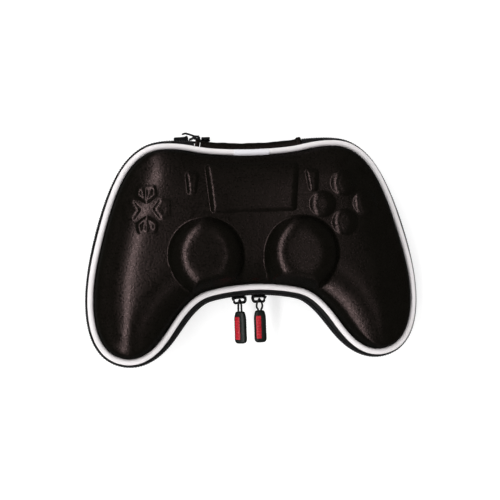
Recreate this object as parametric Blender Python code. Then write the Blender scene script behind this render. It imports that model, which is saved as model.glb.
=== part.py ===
"""Hard moulded carrying case for a game controller.

Two moulded shells in the outline of a controller, joined by a cloth hinge at
the back (+Y) and by a coil zip round the rest of the rim.  Piping is sewn
round both rims.  Two zip sliders sit at the front with cord pulls, and a
small snap hook hangs from a webbing tab at the left end of the hinge.

Lengths below are in millimetres; objects are made in metres.  The case lies
on its base shell, z = 0 is the surface under it.
"""
import math

import bpy
import numpy as np
from mathutils.geometry import delaunay_2d_cdt

MM = 0.001
Y0 = -2.71            # moves the outline so the whole part is centred on y = 0

# ---------------------------------------------------------------- heights
Z_SPLIT = 34.0        # parting plane of the zip
Z_LID_PIPE = 40.5     # centre of the lid piping
Z_BASE_PIPE = 27.5    # centre of the base piping
Z_LID_RIM = 39.2      # lower edge of the lid shell
Z_BASE_RIM = 28.8     # upper edge of the base shell
PIPE_R = 1.65
WALL_IN = 1.9         # shell wall stands this far inside the piping centre
SHELL_T = 3.0         # thickness of the laminate
LID_WALL = 8.0        # height of the steep part of the lid's shoulder, from z = 42
LID_CROWN = 8.5       # height of the long soft rise behind it
HINGE_X = 30.0        # half length of the cloth hinge
HINGE_Y = 69.4        # hinge axis, before the Y0 shift
ARC_R = 120.0         # front of the outline is an arc of this radius
ARC_Y = -22.3 - ARC_R

# ------------------------------------------ right half of the piping centre line
# x, y and how far the zip band stands outside the piping centre
HALF = [
    (0.0, 58.5, 6.5), (15.0, 59.0, 6.5), (30.0, 60.6, 6.3), (36.0, 61.8, 5.6),
    (42.0, 62.7, 4.8), (51.0, 63.1, 4.3), (59.5, 61.6, 4.1), (66.5, 57.6, 4.0),
    (73.0, 51.0, 3.9), (78.5, 42.0, 3.9), (83.6, 30.0, 4.1), (88.3, 15.6, 4.3),
    (92.3, 1.0, 4.2), (95.3, -13.2, 4.0), (96.7, -27.6, 4.0), (95.8, -41.5, 4.1),
    (92.6, -52.0, 4.2), (87.0, -59.5, 4.2), (80.0, -63.2, 4.1), (73.0, -64.0, 4.1),
    (65.5, -61.9, 4.3), (58.0, -56.4, 4.8), (51.6, -48.7, 5.3), (44.4, -38.6, 5.6),
    (37.5, -31.2, 5.6), (30.0, -26.4, 5.35), (24.0, -24.7, 5.3), (12.0, -22.9, 5.3),
    (0.0, -22.3, 5.3),
]

# ---------------------------------------------------------------- lid relief
DOMES = [(-28.1, -2.6), (27.2, -3.0)]
DOME_FOOT, DOME_TOP, DOME_H = 21.5, 12.4, 8.0
PAD = [(-27.5, 50.3), (27.5, 50.3), (24.6, 21.2), (-24.6, 21.2)]
DPAD_C = (-61.3, 24.4)
FACE = [(53.0, 36.8), (65.9, 24.8), (52.9, 13.9), (40.2, 24.8)]
FACE_R = 7.8


# ================================================================ outline
def periodic_spline(pts, n):
    """Closed cubic spline through pts, sampled at n even arc lengths."""
    m = len(pts)
    xy = pts[:, :2]
    gap = np.hypot(*(np.roll(xy, -1, 0) - xy).T)
    d = np.r_[0.0, np.cumsum(gap)]
    a = np.zeros((m, m))
    b = np.zeros((m, pts.shape[1]))
    for i in range(m):
        hm, hi = gap[i - 1], gap[i]
        a[i, (i - 1) % m] += hm
        a[i, i] += 2 * (hm + hi)
        a[i, (i + 1) % m] += hi
        b[i] = 6 * ((pts[(i + 1) % m] - pts[i]) / hi - (pts[i] - pts[i - 1]) / hm)
    mm = np.linalg.solve(a, b)

    def at(s):
        k = np.clip(np.searchsorted(d, s, side="right") - 1, 0, m - 1)
        k1 = (k + 1) % m
        hi = gap[k][:, None]
        u = (s - d[k])[:, None]
        v = hi - u
        return ((mm[k] * v ** 3 + mm[k1] * u ** 3) / (6 * hi)
                + (pts[k] / hi - mm[k] * hi / 6) * v + (pts[k1] / hi - mm[k1] * hi / 6) * u)

    fine = at(np.linspace(0, d[-1], 8 * n, endpoint=False))
    seg = np.hypot(*(np.roll(fine[:, :2], -1, 0) - fine[:, :2]).T)
    arc = np.r_[0.0, np.cumsum(seg)]
    fine = np.vstack([fine, fine[:1]])
    want = np.linspace(0, arc[-1], n, endpoint=False)
    return np.column_stack([np.interp(want, arc, fine[:, j]) for j in range(pts.shape[1])]), arc[-1]


FULL = np.array(HALF + [(-x, y, b) for x, y, b in HALF[-2:0:-1]])
NF = 2400
_xy, LENGTH = periodic_spline(FULL[:, :2], NF)
_ctrl = np.r_[0.0, np.cumsum(np.hypot(*(np.roll(FULL[:, :2], -1, 0) - FULL[:, :2]).T))]
_ctrl *= LENGTH / _ctrl[-1]
_s = np.linspace(0, LENGTH, NF, endpoint=False)
_b = np.interp(_s, _ctrl, np.r_[FULL[:, 2], FULL[0, 2]])
_k = int(round(5.0 / (LENGTH / NF)))
_b = np.mean([np.roll(_b, j) for j in range(-_k, _k + 1)], axis=0)
_t = np.roll(_xy, -1, 0) - np.roll(_xy, 1, 0)
_t /= np.hypot(*_t.T)[:, None]
_n = np.column_stack([-_t[:, 1], _t[:, 0]])


def frame_at(s):
    """Point, outward normal and zip bulge at arc length s (from the back centre)."""
    s = s % LENGTH
    out = []
    for col in (_xy[:, 0], _xy[:, 1], _n[:, 0], _n[:, 1], _b):
        out.append(float(np.interp(s, np.r_[_s, LENGTH], np.r_[col, col[0]])))
    px, py, nx, ny, b = out
    ln = math.hypot(nx, ny)
    return px, py, nx / ln, ny / ln, b


def arc_of_x(x, back=True):
    """Arc length of the point of the back (or front) edge with this x."""
    half = LENGTH / 2
    ss = np.linspace(0, half, 3000)
    xs = np.interp(ss, _s, _xy[:, 0])
    ys = np.interp(ss, _s, _xy[:, 1])
    keep = (ys > 50) if back else (ys < -10)
    keep &= xs < 56
    i = np.argmin(np.where(keep, np.abs(xs - abs(x)), 1e9))
    s = ss[i]
    return s if x >= 0 else LENGTH - s


def samples():
    """Arc lengths round the rim, closer together where the outline turns."""
    half = LENGTH / 2
    ang = np.unwrap(np.arctan2(_t[:, 1], _t[:, 0]))
    kap = np.abs(np.roll(ang, -12) - np.roll(ang, 12)) / (24 * LENGTH / NF)
    kap = np.minimum(kap, 0.08)
    step = np.clip(np.sqrt(8 * 0.17 / np.maximum(kap, 1e-4)), 5.0, 10.5)
    dens = 1.0 / step
    m = NF // 2
    cum = np.r_[0.0, np.cumsum(dens[:m])] * (LENGTH / NF)
    n = int(round(cum[-1]))
    pos = np.interp(np.linspace(0, cum[-1], n + 1), cum, np.linspace(0, half, m + 1))
    return list(pos[:-1]) + [LENGTH / 2] + [LENGTH - p for p in pos[-2:0:-1]]


RING = samples()
RING_F = [frame_at(s) for s in RING]


def span(s0, s1):
    """Ring samples strictly between two arc lengths, with the two ends."""
    inner = [s for s in RING if s0 + 1.5 < s < s1 - 1.5]
    return [s0] + inner + [s1]


def inset(x, y):
    """Distance of each point inside the shell wall (negative outside it)."""
    p = np.column_stack([x, y])
    out = np.empty(len(p))
    c = _xy[::2]
    for i in range(0, len(p), 400):
        q = p[i:i + 400]
        out[i:i + 400] = np.sqrt(((q[:, None, :] - c[None]) ** 2).sum(2)).min(1)
    return out - WALL_IN


# ================================================================ meshes
def material(name, rgb, rough=0.6, metal=0.0):
    m = bpy.data.materials.new(name)
    m.use_nodes = True
    bsdf = m.node_tree.nodes["Principled BSDF"]
    bsdf.inputs["Base Color"].default_value = (*rgb, 1.0)
    bsdf.inputs["Roughness"].default_value = rough
    bsdf.inputs["Metallic"].default_value = metal
    m.diffuse_color = (*rgb, 1.0)
    return m


def block(name, verts, faces):
    """Operand for a boolean, one unit to the millimetre."""
    import bmesh
    me = bpy.data.meshes.new(name)
    me.from_pydata([tuple(v) for v in verts], [], faces)
    ob = bpy.data.objects.new(name, me)
    bpy.context.scene.collection.objects.link(ob)
    bm = bmesh.new()
    bm.from_mesh(me)
    bmesh.ops.recalc_face_normals(bm, faces=bm.faces)
    bm.to_mesh(me)
    bm.free()
    return ob


def combine(name, steps, mat, origin):
    """Booleans on millimetre operands: steps is [(operation, object), ...]."""
    base = steps[0][1]
    for op, other in steps[1:]:
        mod = base.modifiers.new(op, "BOOLEAN")
        mod.operation = op
        mod.solver = "EXACT"
        mod.object = other
    bpy.context.view_layer.update()
    dg = bpy.context.evaluated_depsgraph_get()
    me = bpy.data.meshes.new_from_object(base.evaluated_get(dg))
    pts = [tuple(v.co) for v in me.vertices]
    faces = [tuple(p.vertices) for p in me.polygons]
    for _, ob in steps:
        bpy.data.objects.remove(ob)
    return solid(name, pts, faces, mat, origin)


def solid(name, verts, faces, mat, origin=(0.0, 0.0, 0.0)):
    """Closed body from millimetre points; origin is where its own axes sit."""
    if mat is None:
        return block(name, verts, faces)
    ox, oy, oz = origin
    me = bpy.data.meshes.new(name)
    me.from_pydata([((x - ox) * MM, (y - oy) * MM, (z - oz) * MM) for x, y, z in verts], [], faces)
    me.update()
    ob = bpy.data.objects.new(name, me)
    ob.location = (ox * MM, (oy + Y0) * MM, oz * MM)
    bpy.context.scene.collection.objects.link(ob)
    import bmesh
    bm = bmesh.new()
    bm.from_mesh(me)
    bmesh.ops.remove_doubles(bm, verts=bm.verts, dist=1e-7)
    bmesh.ops.recalc_face_normals(bm, faces=bm.faces)
    bm.to_mesh(me)
    bm.free()
    me.materials.append(mat)
    return ob


def sweep(name, section, stations, mat, closed=False):
    """Body of a (d, z) section carried along the outline."""
    verts, faces, m = [], [], None
    for s in stations:
        px, py, nx, ny, b = frame_at(s)
        sec = section(b, s)
        m = len(sec)
        verts += [(px + nx * d, py + ny * d, z) for d, z in sec]
    n = len(stations)
    for i in range(n if closed else n - 1):
        j = (i + 1) % n
        for k in range(m):
            l = (k + 1) % m
            faces.append((i * m + k, i * m + l, j * m + l, j * m + k))
    if not closed:
        faces.append(tuple(range(m)))
        faces.append(tuple((n - 1) * m + k for k in reversed(range(m))))
    return solid(name, verts, faces, mat)


def band(path, thick):
    """Closed section of a thin band that follows an open (d, z) path."""
    left, right = [], []
    for i, (d, z) in enumerate(path):
        dirs = []
        if i > 0:
            a = path[i - 1]
            ln = math.hypot(d - a[0], z - a[1])
            dirs.append(((d - a[0]) / ln, (z - a[1]) / ln))
        if i < len(path) - 1:
            a = path[i + 1]
            ln = math.hypot(a[0] - d, a[1] - z)
            dirs.append(((a[0] - d) / ln, (a[1] - z) / ln))
        tx = sum(q[0] for q in dirs)
        tz = sum(q[1] for q in dirs)
        ln = math.hypot(tx, tz)
        tx, tz = tx / ln, tz / ln
        k = 1.0 / max(0.5, tx * dirs[0][0] + tz * dirs[0][1])
        h = thick / 2 * k
        left.append((d - tz * h, z + tx * h))
        right.append((d + tz * h, z - tx * h))
    return left + right[::-1]


def circle(cx, cy, r, n, a0=0.0):
    return [(cx + r * math.cos(a0 + 2 * math.pi * i / n),
             cy + r * math.sin(a0 + 2 * math.pi * i / n)) for i in range(n)]


def tube(name, path, r, sides, mat, origin):
    """Round bar through 3-D points, closed at both ends."""
    p = np.array(path, float)
    n = len(p)
    t = np.gradient(p, axis=0)
    t /= np.linalg.norm(t, axis=1)[:, None]
    ref = np.array([0.0, 0.0, 1.0]) if abs(t[0][2]) < 0.8 else np.array([1.0, 0.0, 0.0])
    verts, faces = [], []
    u = np.cross(t[0], ref)
    u /= np.linalg.norm(u)
    for i in range(n):
        u = u - t[i] * np.dot(u, t[i])
        u /= np.linalg.norm(u)
        v = np.cross(t[i], u)
        for k in range(sides):
            a = 2 * math.pi * k / sides
            q = p[i] + r * (math.cos(a) * u + math.sin(a) * v)
            verts.append(tuple(q))
    for i in range(n - 1):
        for k in range(sides):
            l = (k + 1) % sides
            faces.append((i * sides + k, i * sides + l, (i + 1) * sides + l, (i + 1) * sides + k))
    faces.append(tuple(range(sides)))
    faces.append(tuple((n - 1) * sides + k for k in reversed(range(sides))))
    return solid(name, verts, faces, mat, origin)


def prism(name, outline, z0, z1, mat, origin, chamfer=0.0, axis="z"):
    """Straight body over an outline; chamfer cuts both long edges."""
    def put(a, b, c):
        return {"z": (a, b, c), "y": (a, c, b), "x": (c, a, b)}[axis]
    if chamfer:
        c = np.array(outline)
        mid = c.mean(0)
        ext = np.abs(c - mid).max(0)
        small = mid + (c - mid) * (1 - chamfer / ext)
        levels = [(small, z0), (c, z0 + chamfer), (c, z1 - chamfer), (small, z1)]
    else:
        levels = [(outline, z0), (outline, z1)]
    m = len(outline)
    verts, faces = [], []
    for pts, z in levels:
        verts += [put(float(x), float(y), z) for x, y in pts]
    for i in range(len(levels) - 1):
        for k in range(m):
            l = (k + 1) % m
            faces.append((i * m + k, i * m + l, (i + 1) * m + l, (i + 1) * m + k))
    faces.append(tuple(range(m)))
    faces.append(tuple((len(levels) - 1) * m + k for k in reversed(range(m))))
    return solid(name, verts, faces, mat, origin)


# ================================================================ shells
def clamp01(v):
    return np.clip(v, 0.0, 1.0)


def ease(v):
    v = clamp01(v)
    return v * v * (3 - 2 * v)


def poly_inside(x, y, poly):
    """Distance inside a convex clockwise or anticlockwise polygon."""
    p = np.array(poly)
    area = 0.5 * np.sum(p[:, 0] * np.roll(p[:, 1], -1) - np.roll(p[:, 0], -1) * p[:, 1])
    if area < 0:
        p = p[::-1]
    d = np.full(len(x), 1e9)
    for i in range(len(p)):
        a, b = p[i], p[(i + 1) % len(p)]
        e = (b - a) / np.hypot(*(b - a))
        d = np.minimum(d, e[0] * (y - a[1]) - e[1] * (x - a[0]))
    return d


def shrink(poly, w):
    """Convex polygon moved in by w on every side."""
    p = np.array(poly)
    area = 0.5 * np.sum(p[:, 0] * np.roll(p[:, 1], -1) - np.roll(p[:, 0], -1) * p[:, 1])
    if area < 0:
        p = p[::-1]
    out = []
    m = len(p)
    for i in range(m):
        a, b, c = p[i - 1], p[i], p[(i + 1) % m]
        e0 = (b - a) / np.hypot(*(b - a))
        e1 = (c - b) / np.hypot(*(c - b))
        n0 = np.array([-e0[1], e0[0]])
        n1 = np.array([-e1[1], e1[0]])
        k = w / (1 + np.dot(n0, n1))
        out.append(tuple(b + (n0 + n1) * k))
    return out


def dpad_arms():
    cx, cy = DPAD_C
    arm = [(-5.2, 14.0), (5.2, 14.0), (6.2, 7.6), (0.0, 3.3), (-6.2, 7.6)]
    arms = []
    for q in range(4):
        c, s = [(1, 0), (0, 1), (-1, 0), (0, -1)][q]
        arms.append([(cx + c * x - s * y, cy + s * x + c * y) for x, y in arm])
    return arms


DPAD = dpad_arms()
PILLS = [[(-38.9, 45.6), (-30.4, 45.6), (-32.6, 32.2), (-37.8, 32.2)],
         [(30.4, 45.6), (38.9, 45.6), (37.8, 32.2), (32.6, 32.2)]]


def smooth_max(a, b, k):
    """Larger of two heights, with the crease rounded over about k."""
    h = clamp01(0.5 + 0.5 * (a - b) / k)
    return b * (1 - h) + a * h + k * h * (1 - h) * 0.5


def edge_curve(t, rise, width, power):
    """Height above the rim of a rounded shoulder of this width."""
    return rise * (1 - (1 - clamp01(t / width)) ** power)


def dome_height(x, y, foot, top, z_foot):
    """Flat-topped cones over the two thumb sticks."""
    out = np.full(len(x), -1e3)
    for cx, cy in DOMES:
        r = np.hypot(x - cx, y - cy)
        out = np.maximum(out, z_foot + DOME_H * np.minimum((foot - r) / (foot - top), 1.0))
    return out


def lid_outer(x, y, t):
    u = t - 0.25
    z = 42.0 + edge_curve(u, LID_WALL, 4.2, 2.4) + edge_curve(u, LID_CROWN, 25.0, 2.3)
    z = z - 2.2 * (x / 95.0) ** 2 * ease(t / 12)
    dome = np.minimum(dome_height(x, y, DOME_FOOT, DOME_TOP, 58.2), 42.0 + edge_curve(t - 0.25, 24.6, 9.5, 2.2))
    z = smooth_max(z, dome, 0.8)
    for poly, h, wd in [(PAD, 1.2, 1.3)] + [(a, 1.5, 1.3) for a in DPAD] + [(a, 1.1, 1.2) for a in PILLS]:
        z = z + h * clamp01(poly_inside(x, y, poly) / wd)
    for cx, cy in FACE:
        z = z + 1.9 * clamp01((FACE_R - np.hypot(x - cx, y - cy)) / 2.6)
    return np.where(t < 0.25, Z_LID_RIM + (42.0 - Z_LID_RIM) * clamp01(t / 0.25), z)


def lid_inner(x, y, t):
    u = t - SHELL_T - 0.25
    z = 40.8 + edge_curve(u, LID_WALL - 1.4, 3.6, 2.2) + edge_curve(u, LID_CROWN - 0.8, 22.0, 2.3)
    z = z - 2.2 * (x / 95.0) ** 2 * ease(t / 12)
    dome = np.minimum(dome_height(x, y, DOME_FOOT - 2.6, DOME_TOP - 1.6, 55.0), 40.8 + edge_curve(u, 22.0, 9.5, 2.2))
    z = smooth_max(z, dome, 0.8)
    return np.where(t < SHELL_T + 0.25, Z_LID_RIM + (40.8 - Z_LID_RIM) * clamp01((t - SHELL_T) / 0.25), z)


BASE_OUT = [(0.0, 28.8), (0.6, 22.0), (1.8, 13.5), (3.6, 7.6), (6.4, 3.4), (10.2, 0.9), (14.6, 0.0)]
BASE_IN = [(3.0, 28.8), (3.6, 22.2), (4.8, 14.4), (6.5, 9.4), (9.0, 5.9), (12.2, 3.8), (15.6, 3.0)]


def table(rows):
    ts = [r[0] for r in rows]
    zs = [r[1] for r in rows]
    return lambda x, y, t: np.interp(t, ts, zs)


def sheet(insets, loops, height, fill_from, spacing):
    """One skin of a shell: rings that follow the rim, relief loops and fill."""
    pts, edges = [], []
    for t in insets:
        k = len(pts)
        for px, py, nx, ny, b in RING_F:
            d = WALL_IN + t
            pts.append((px - nx * d, py - ny * d))
        m = len(RING_F)
        edges += [(k + i, k + (i + 1) % m) for i in range(m)]
    inside_limit = insets[1] + 0.8
    for loop in loops:
        a = np.array(loop)
        ok = inset(a[:, 0], a[:, 1]) > inside_limit
        k = len(pts)
        pts += [tuple(q) for q in loop]
        m = len(loop)
        edges += [(k + i, k + (i + 1) % m) for i in range(m) if ok[i] and ok[(i + 1) % m]]
        drop = [k + i for i in range(m) if not ok[i]]
        for i in drop:
            pts[i] = None
    have = np.array([q for q in pts if q is not None])
    gx = np.arange(-96, 97, spacing)
    row = 0
    yv = -66.0
    while yv < 66:
        off = spacing / 2 if row % 2 else 0.0
        xs = gx + off
        t = inset(xs, np.full(len(xs), yv))
        near_c = np.array([np.hypot(have[:, 0] - q, have[:, 1] - yv).min() for q in xs])
        for q, tv, nd in zip(xs, t, near_c):
            if tv > fill_from and nd > spacing * 0.52 and within(q, yv):
                pts.append((float(q), float(yv)))
        yv += spacing * 0.866
        row += 1
    index = {}
    clean = []
    for i, q in enumerate(pts):
        if q is not None:
            index[i] = len(clean)
            clean.append(q)
    edges = [(index[a], index[b]) for a, b in edges if a in index and b in index]
    from mathutils import Vector
    vs, _, tris, ids, _, _ = delaunay_2d_cdt([Vector(q) for q in clean], edges, [], 1, 1e-5)
    m = len(RING_F)
    rim = [None] * m
    for i, src in enumerate(ids):
        for q in src:
            if q < m:
                rim[q] = i
    x = np.array([v[0] for v in vs])
    y = np.array([v[1] for v in vs])
    t = inset(x, y)
    for i in rim:
        t[i] = insets[0]
    z = height(x, y, np.maximum(t, insets[0]))
    return [(float(a), float(b), float(c)) for a, b, c in zip(x, y, z)], [tuple(f) for f in tris], rim


_POLY = _xy[::8]


def within(x, y):
    a, b = _POLY, np.roll(_POLY, -1, 0)
    c = ((a[:, 1] > y) != (b[:, 1] > y))
    xi = a[:, 0] + (y - a[:, 1]) * (b[:, 0] - a[:, 0]) / np.where(b[:, 1] == a[:, 1], 1e-9, b[:, 1] - a[:, 1])
    return bool(np.sum(c & (x < xi)) % 2)


def shell(name, outer, inner, mat):
    vo, fo, ro = outer
    vi, fi, ri = inner
    k = len(vo)
    verts = vo + vi
    faces = list(fo) + [tuple(k + q for q in reversed(f)) for f in fi]
    m = len(ro)
    for i in range(m):
        j = (i + 1) % m
        faces.append((ro[i], ro[j], k + ri[j], k + ri[i]))
    return solid(name, verts, faces, mat)


def relief_loops():
    loops = []
    for cx, cy in DOMES:
        for r, n in ((DOME_FOOT, 32), (DOME_FOOT - 1.6, 32), (DOME_TOP + 1.4, 28), (DOME_TOP, 28), (6.0, 10)):
            loops.append(circle(cx, cy, r, n))
    for poly, w in [(PAD, 1.3)] + [(a, 1.3) for a in DPAD] + [(a, 1.2) for a in PILLS]:
        loops.append(list(poly))
        loops.append(shrink(poly, w))
    for cx, cy in FACE:
        loops.append(circle(cx, cy, FACE_R, 14))
        loops.append(circle(cx, cy, FACE_R - 2.6, 14))
    return loops


def inner_loops():
    loops = []
    for cx, cy in DOMES:
        for r, n in ((DOME_FOOT - 2.6, 28), (DOME_TOP - 1.6, 24)):
            loops.append(circle(cx, cy, r, n))
    return loops


# ================================================================ build
for ob in list(bpy.data.objects):
    bpy.data.objects.remove(ob)

M_SHELL = material("shell_cloth_base", (0.045, 0.036, 0.034), 0.5)
M_LID = material("shell_cloth_lid", (0.045, 0.036, 0.034), 0.5)
M_PIPE = material("piping_white_lid", (0.86, 0.86, 0.85), 0.5)
M_PIPEB = material("piping_white_base", (0.86, 0.86, 0.85), 0.5)
M_SPLICE = material("piping_splice_white", (0.88, 0.87, 0.9), 0.5)
M_TAPE = material("tape_black_lid", (0.02, 0.02, 0.021), 0.8)
M_TAPEB = material("tape_black_base", (0.02, 0.02, 0.021), 0.8)
M_COIL = material("coil_black_lid", (0.03, 0.03, 0.031), 0.4)
M_COILB = material("coil_black_base", (0.03, 0.03, 0.031), 0.4)
M_HINGE = material("hinge_cloth", (0.03, 0.027, 0.028), 0.7)
M_LINING = material("lining_strip", (0.03, 0.03, 0.032), 0.85)
M_ENDL = material("zip_end_cloth_left", (0.03, 0.028, 0.028), 0.7)
M_ENDR = material("zip_end_cloth_right", (0.03, 0.028, 0.028), 0.7)
M_METAL = material("slider_black_left", (0.02, 0.02, 0.02), 0.3, 0.6)
M_METALR = material("slider_black_right", (0.02, 0.02, 0.02), 0.3, 0.6)
M_CORD = material("cord_black_left", (0.02, 0.02, 0.02), 0.6)
M_CORDR = material("cord_black_right", (0.02, 0.02, 0.02), 0.6)
M_TAB = material("tab_rubber_left", (0.03, 0.035, 0.034), 0.45)
M_TABR = material("tab_rubber_right", (0.03, 0.035, 0.034), 0.45)
M_RED = material("insert_red_left", (0.75, 0.03, 0.05), 0.4)
M_REDR = material("insert_red_right", (0.75, 0.03, 0.05), 0.4)
M_WEB = material("webbing_black", (0.025, 0.025, 0.026), 0.8)
M_HOOK = material("hook_black_metal", (0.03, 0.03, 0.03), 0.3, 0.8)
M_GATE = material("gate_steel", (0.25, 0.25, 0.26), 0.3, 1.0)
M_PIN = material("pin_steel", (0.3, 0.3, 0.3), 0.3, 1.0)

# -- shells
base = shell("base_shell",
             sheet([r[0] for r in BASE_OUT], [], table(BASE_OUT), 19.0, 17.0),
             sheet([r[0] for r in BASE_IN], [], table(BASE_IN), 20.0, 17.0), M_SHELL)
lid = shell("lid_shell",
            sheet([0.0, 0.25, 0.9, 2.1, 4.4, 8.6, 14.0], relief_loops(), lid_outer, 17.0, 10.0),
            sheet([3.0, 3.25, 4.1, 5.4, 6.9, 10.5, 15.0], inner_loops(), lid_inner, 18.0, 12.0), M_LID)


# -- piping
def pipe_section(z, r=PIPE_R, n=6):
    return lambda b, s: [(r * math.cos(2 * math.pi * i / n + 0.26), z + r * math.sin(2 * math.pi * i / n + 0.26))
                         for i in range(n)]


S_SPL_R = arc_of_x(12.4)
S_SPL_L = arc_of_x(-9.8)
sweep("lid_piping", pipe_section(Z_LID_PIPE), span(S_SPL_R, S_SPL_L), M_PIPE)
sweep("piping_splice", pipe_section(Z_LID_PIPE, 1.68, 8),
      [S_SPL_L + 0.3, LENGTH - 5.0, LENGTH, LENGTH + 6.0, LENGTH + S_SPL_R - 0.3], M_SPLICE)
sweep("base_piping", pipe_section(Z_BASE_PIPE), RING, M_PIPEB, closed=True)

# -- zip tapes and coils, from one end of the hinge round the front to the other
S_ZIP0 = arc_of_x(HINGE_X + 3.6)
S_ZIP1 = LENGTH - S_ZIP0
ZIP = span(S_ZIP0, S_ZIP1)


def tape_section(up):
    def f(b, s):
        path = [(-4.2, 4.25), (b - 3.3, 4.25), (b - 2.4, 3.3), (b - 2.4, 0.4)]
        sec = band(path, 0.6)
        return [(d, Z_SPLIT + up * h) for d, h in sec]
    return f


def coil_section(up):
    def f(b, s):
        return [(d, Z_SPLIT + up * h) for d, h in
                ((b - 1.8, 0.15), (b - 0.3, 0.15), (b, 0.6), (b, 2.1), (b - 0.45, 2.65), (b - 1.8, 2.65))]
    return f


sweep("zip_tape_lid", tape_section(1), ZIP, M_TAPE)
sweep("zip_tape_base", tape_section(-1), ZIP, M_TAPEB)
sweep("zip_coil_lid", coil_section(1), ZIP, M_COIL)
sweep("zip_coil_base", coil_section(-1), ZIP, M_COILB)

# -- cloth hinge and its lining
hinge_path = [(-3.6, 4.25), (4.6, 4.25), (6.0, 2.9), (6.2, 0.0), (6.0, -2.9), (4.6, -4.25), (-3.6, -4.25)]
S_H = arc_of_x(HINGE_X)
HINGE_S = [LENGTH - S_H, LENGTH - S_H * 0.66, LENGTH - S_H * 0.33, LENGTH,
           LENGTH + S_H * 0.33, LENGTH + S_H * 0.66, LENGTH + S_H]
sweep("hinge_band", lambda b, s: [(d, Z_SPLIT + h) for d, h in band(hinge_path, 0.6)], HINGE_S, M_HINGE)
lining_path = [(-5.9, -8.0), (-5.9, -4.6), (-4.7, -3.0), (3.9, -3.0), (4.9, -1.9), (5.2, 0.0), (4.9, 1.9), (3.9, 3.0),
               (-4.7, 3.0)]
sweep("hinge_lining", lambda b, s: [(d, Z_SPLIT + h) for d, h in band(lining_path, 0.5)], HINGE_S, M_LINING)

# -- folded cloth ends over the zip ends
for side, nm, mt in ((-1, "zip_end_left", M_ENDL), (1, "zip_end_right", M_ENDR)):
    a, b_ = arc_of_x(HINGE_X + 0.35), arc_of_x(HINGE_X + 3.25)
    st = [a, (a + b_) / 2, b_] if side > 0 else [LENGTH - b_, LENGTH - (a + b_) / 2, LENGTH - a]
    sweep(nm, lambda b, s: [(0.8, 30.6), (5.6, 30.3), (7.1, 31.8), (7.3, 34.0), (7.1, 36.2), (5.6, 37.7), (0.8, 37.4)],
          st, mt)

# -- sliders: outer plate, lower lip and open crown, on the front arc
R_COIL = ARC_R - 5.3          # outermost radius of the coil, from the arc centre
PLATE_IN, PLATE_OUT = R_COIL - 0.28, R_COIL - 1.30
ROD_R = ARC_R - 9.1           # radius of the crown bar
CROWN_DIR = {"left": 1, "right": -1}
SL_X = {"left": -8.8, "right": 3.4}


def polar(r, along):
    """Point on the front arc frame: along is millimetres to +x at radius ARC_R."""
    a = math.pi / 2 - along / (ARC_R - 6.0)
    return r * math.cos(a), ARC_Y + r * math.sin(a)


def slider(side):
    mat = M_METAL if side == "left" else M_METALR
    c0 = SL_X[side]
    k = CROWN_DIR[side]
    pivot = (0.0, ARC_Y, Z_SPLIT)
    half = 4.5
    us = [-half, -half * 0.5, 0.0, half * 0.5, half]
    outer = [polar(PLATE_OUT, c0 + u) for u in us]
    inner = [polar(PLATE_IN, c0 + u) for u in reversed(us)]
    plate = prism("plate_" + side, outer + inner, 30.35, 37.5, None, pivot)
    lip_in = [polar(R_COIL + 1.3, c0 + 0.92 * u) for u in reversed(us)]
    lip_out = [polar(PLATE_OUT + 0.12, c0 + 0.92 * u) for u in us]
    lip = prism("lip_" + side, lip_out + lip_in, 30.1, 31.0, None, pivot)
    # crown: rises from the plate at one end, runs along, ends short of the plate
    r_a, r_b = ROD_R + 0.6, ROD_R - 0.6
    path_o = [(4.3, PLATE_OUT + 0.3), (4.3, ROD_R + 1.0), (3.3, r_b), (-2.8, r_b), (-3.7, ROD_R + 0.5),
              (-3.7, ROD_R + 1.3)]
    path_i = [(-2.6, ROD_R + 1.3), (-2.5, r_a), (2.6, r_a), (3.1, ROD_R + 1.3), (3.1, PLATE_OUT + 0.3)]
    crown = prism("crown_" + side, [polar(r, c0 + k * u) for u, r in path_o + path_i], 33.1, 34.9, None, pivot)
    lug_p = [(-4.4, PLATE_OUT + 0.3), (-4.4, PLATE_OUT - 0.75), (-2.7, PLATE_OUT - 0.75), (-2.7, PLATE_OUT + 0.3)]
    lug = prism("lug_" + side, [polar(r, c0 + k * u) for u, r in lug_p], 33.1, 34.9, None, pivot)
    return combine("slider_" + side, [("UNION", plate), ("UNION", lip), ("UNION", crown), ("UNION", lug)], mat, pivot)


for side in ("left", "right"):
    slider(side)


# -- pulls: cord loop round the crown bar, moulded tab and raised strip
TAB_LEN, TAB_W, TAB_T = 19.4, 7.8, 4.0


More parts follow.
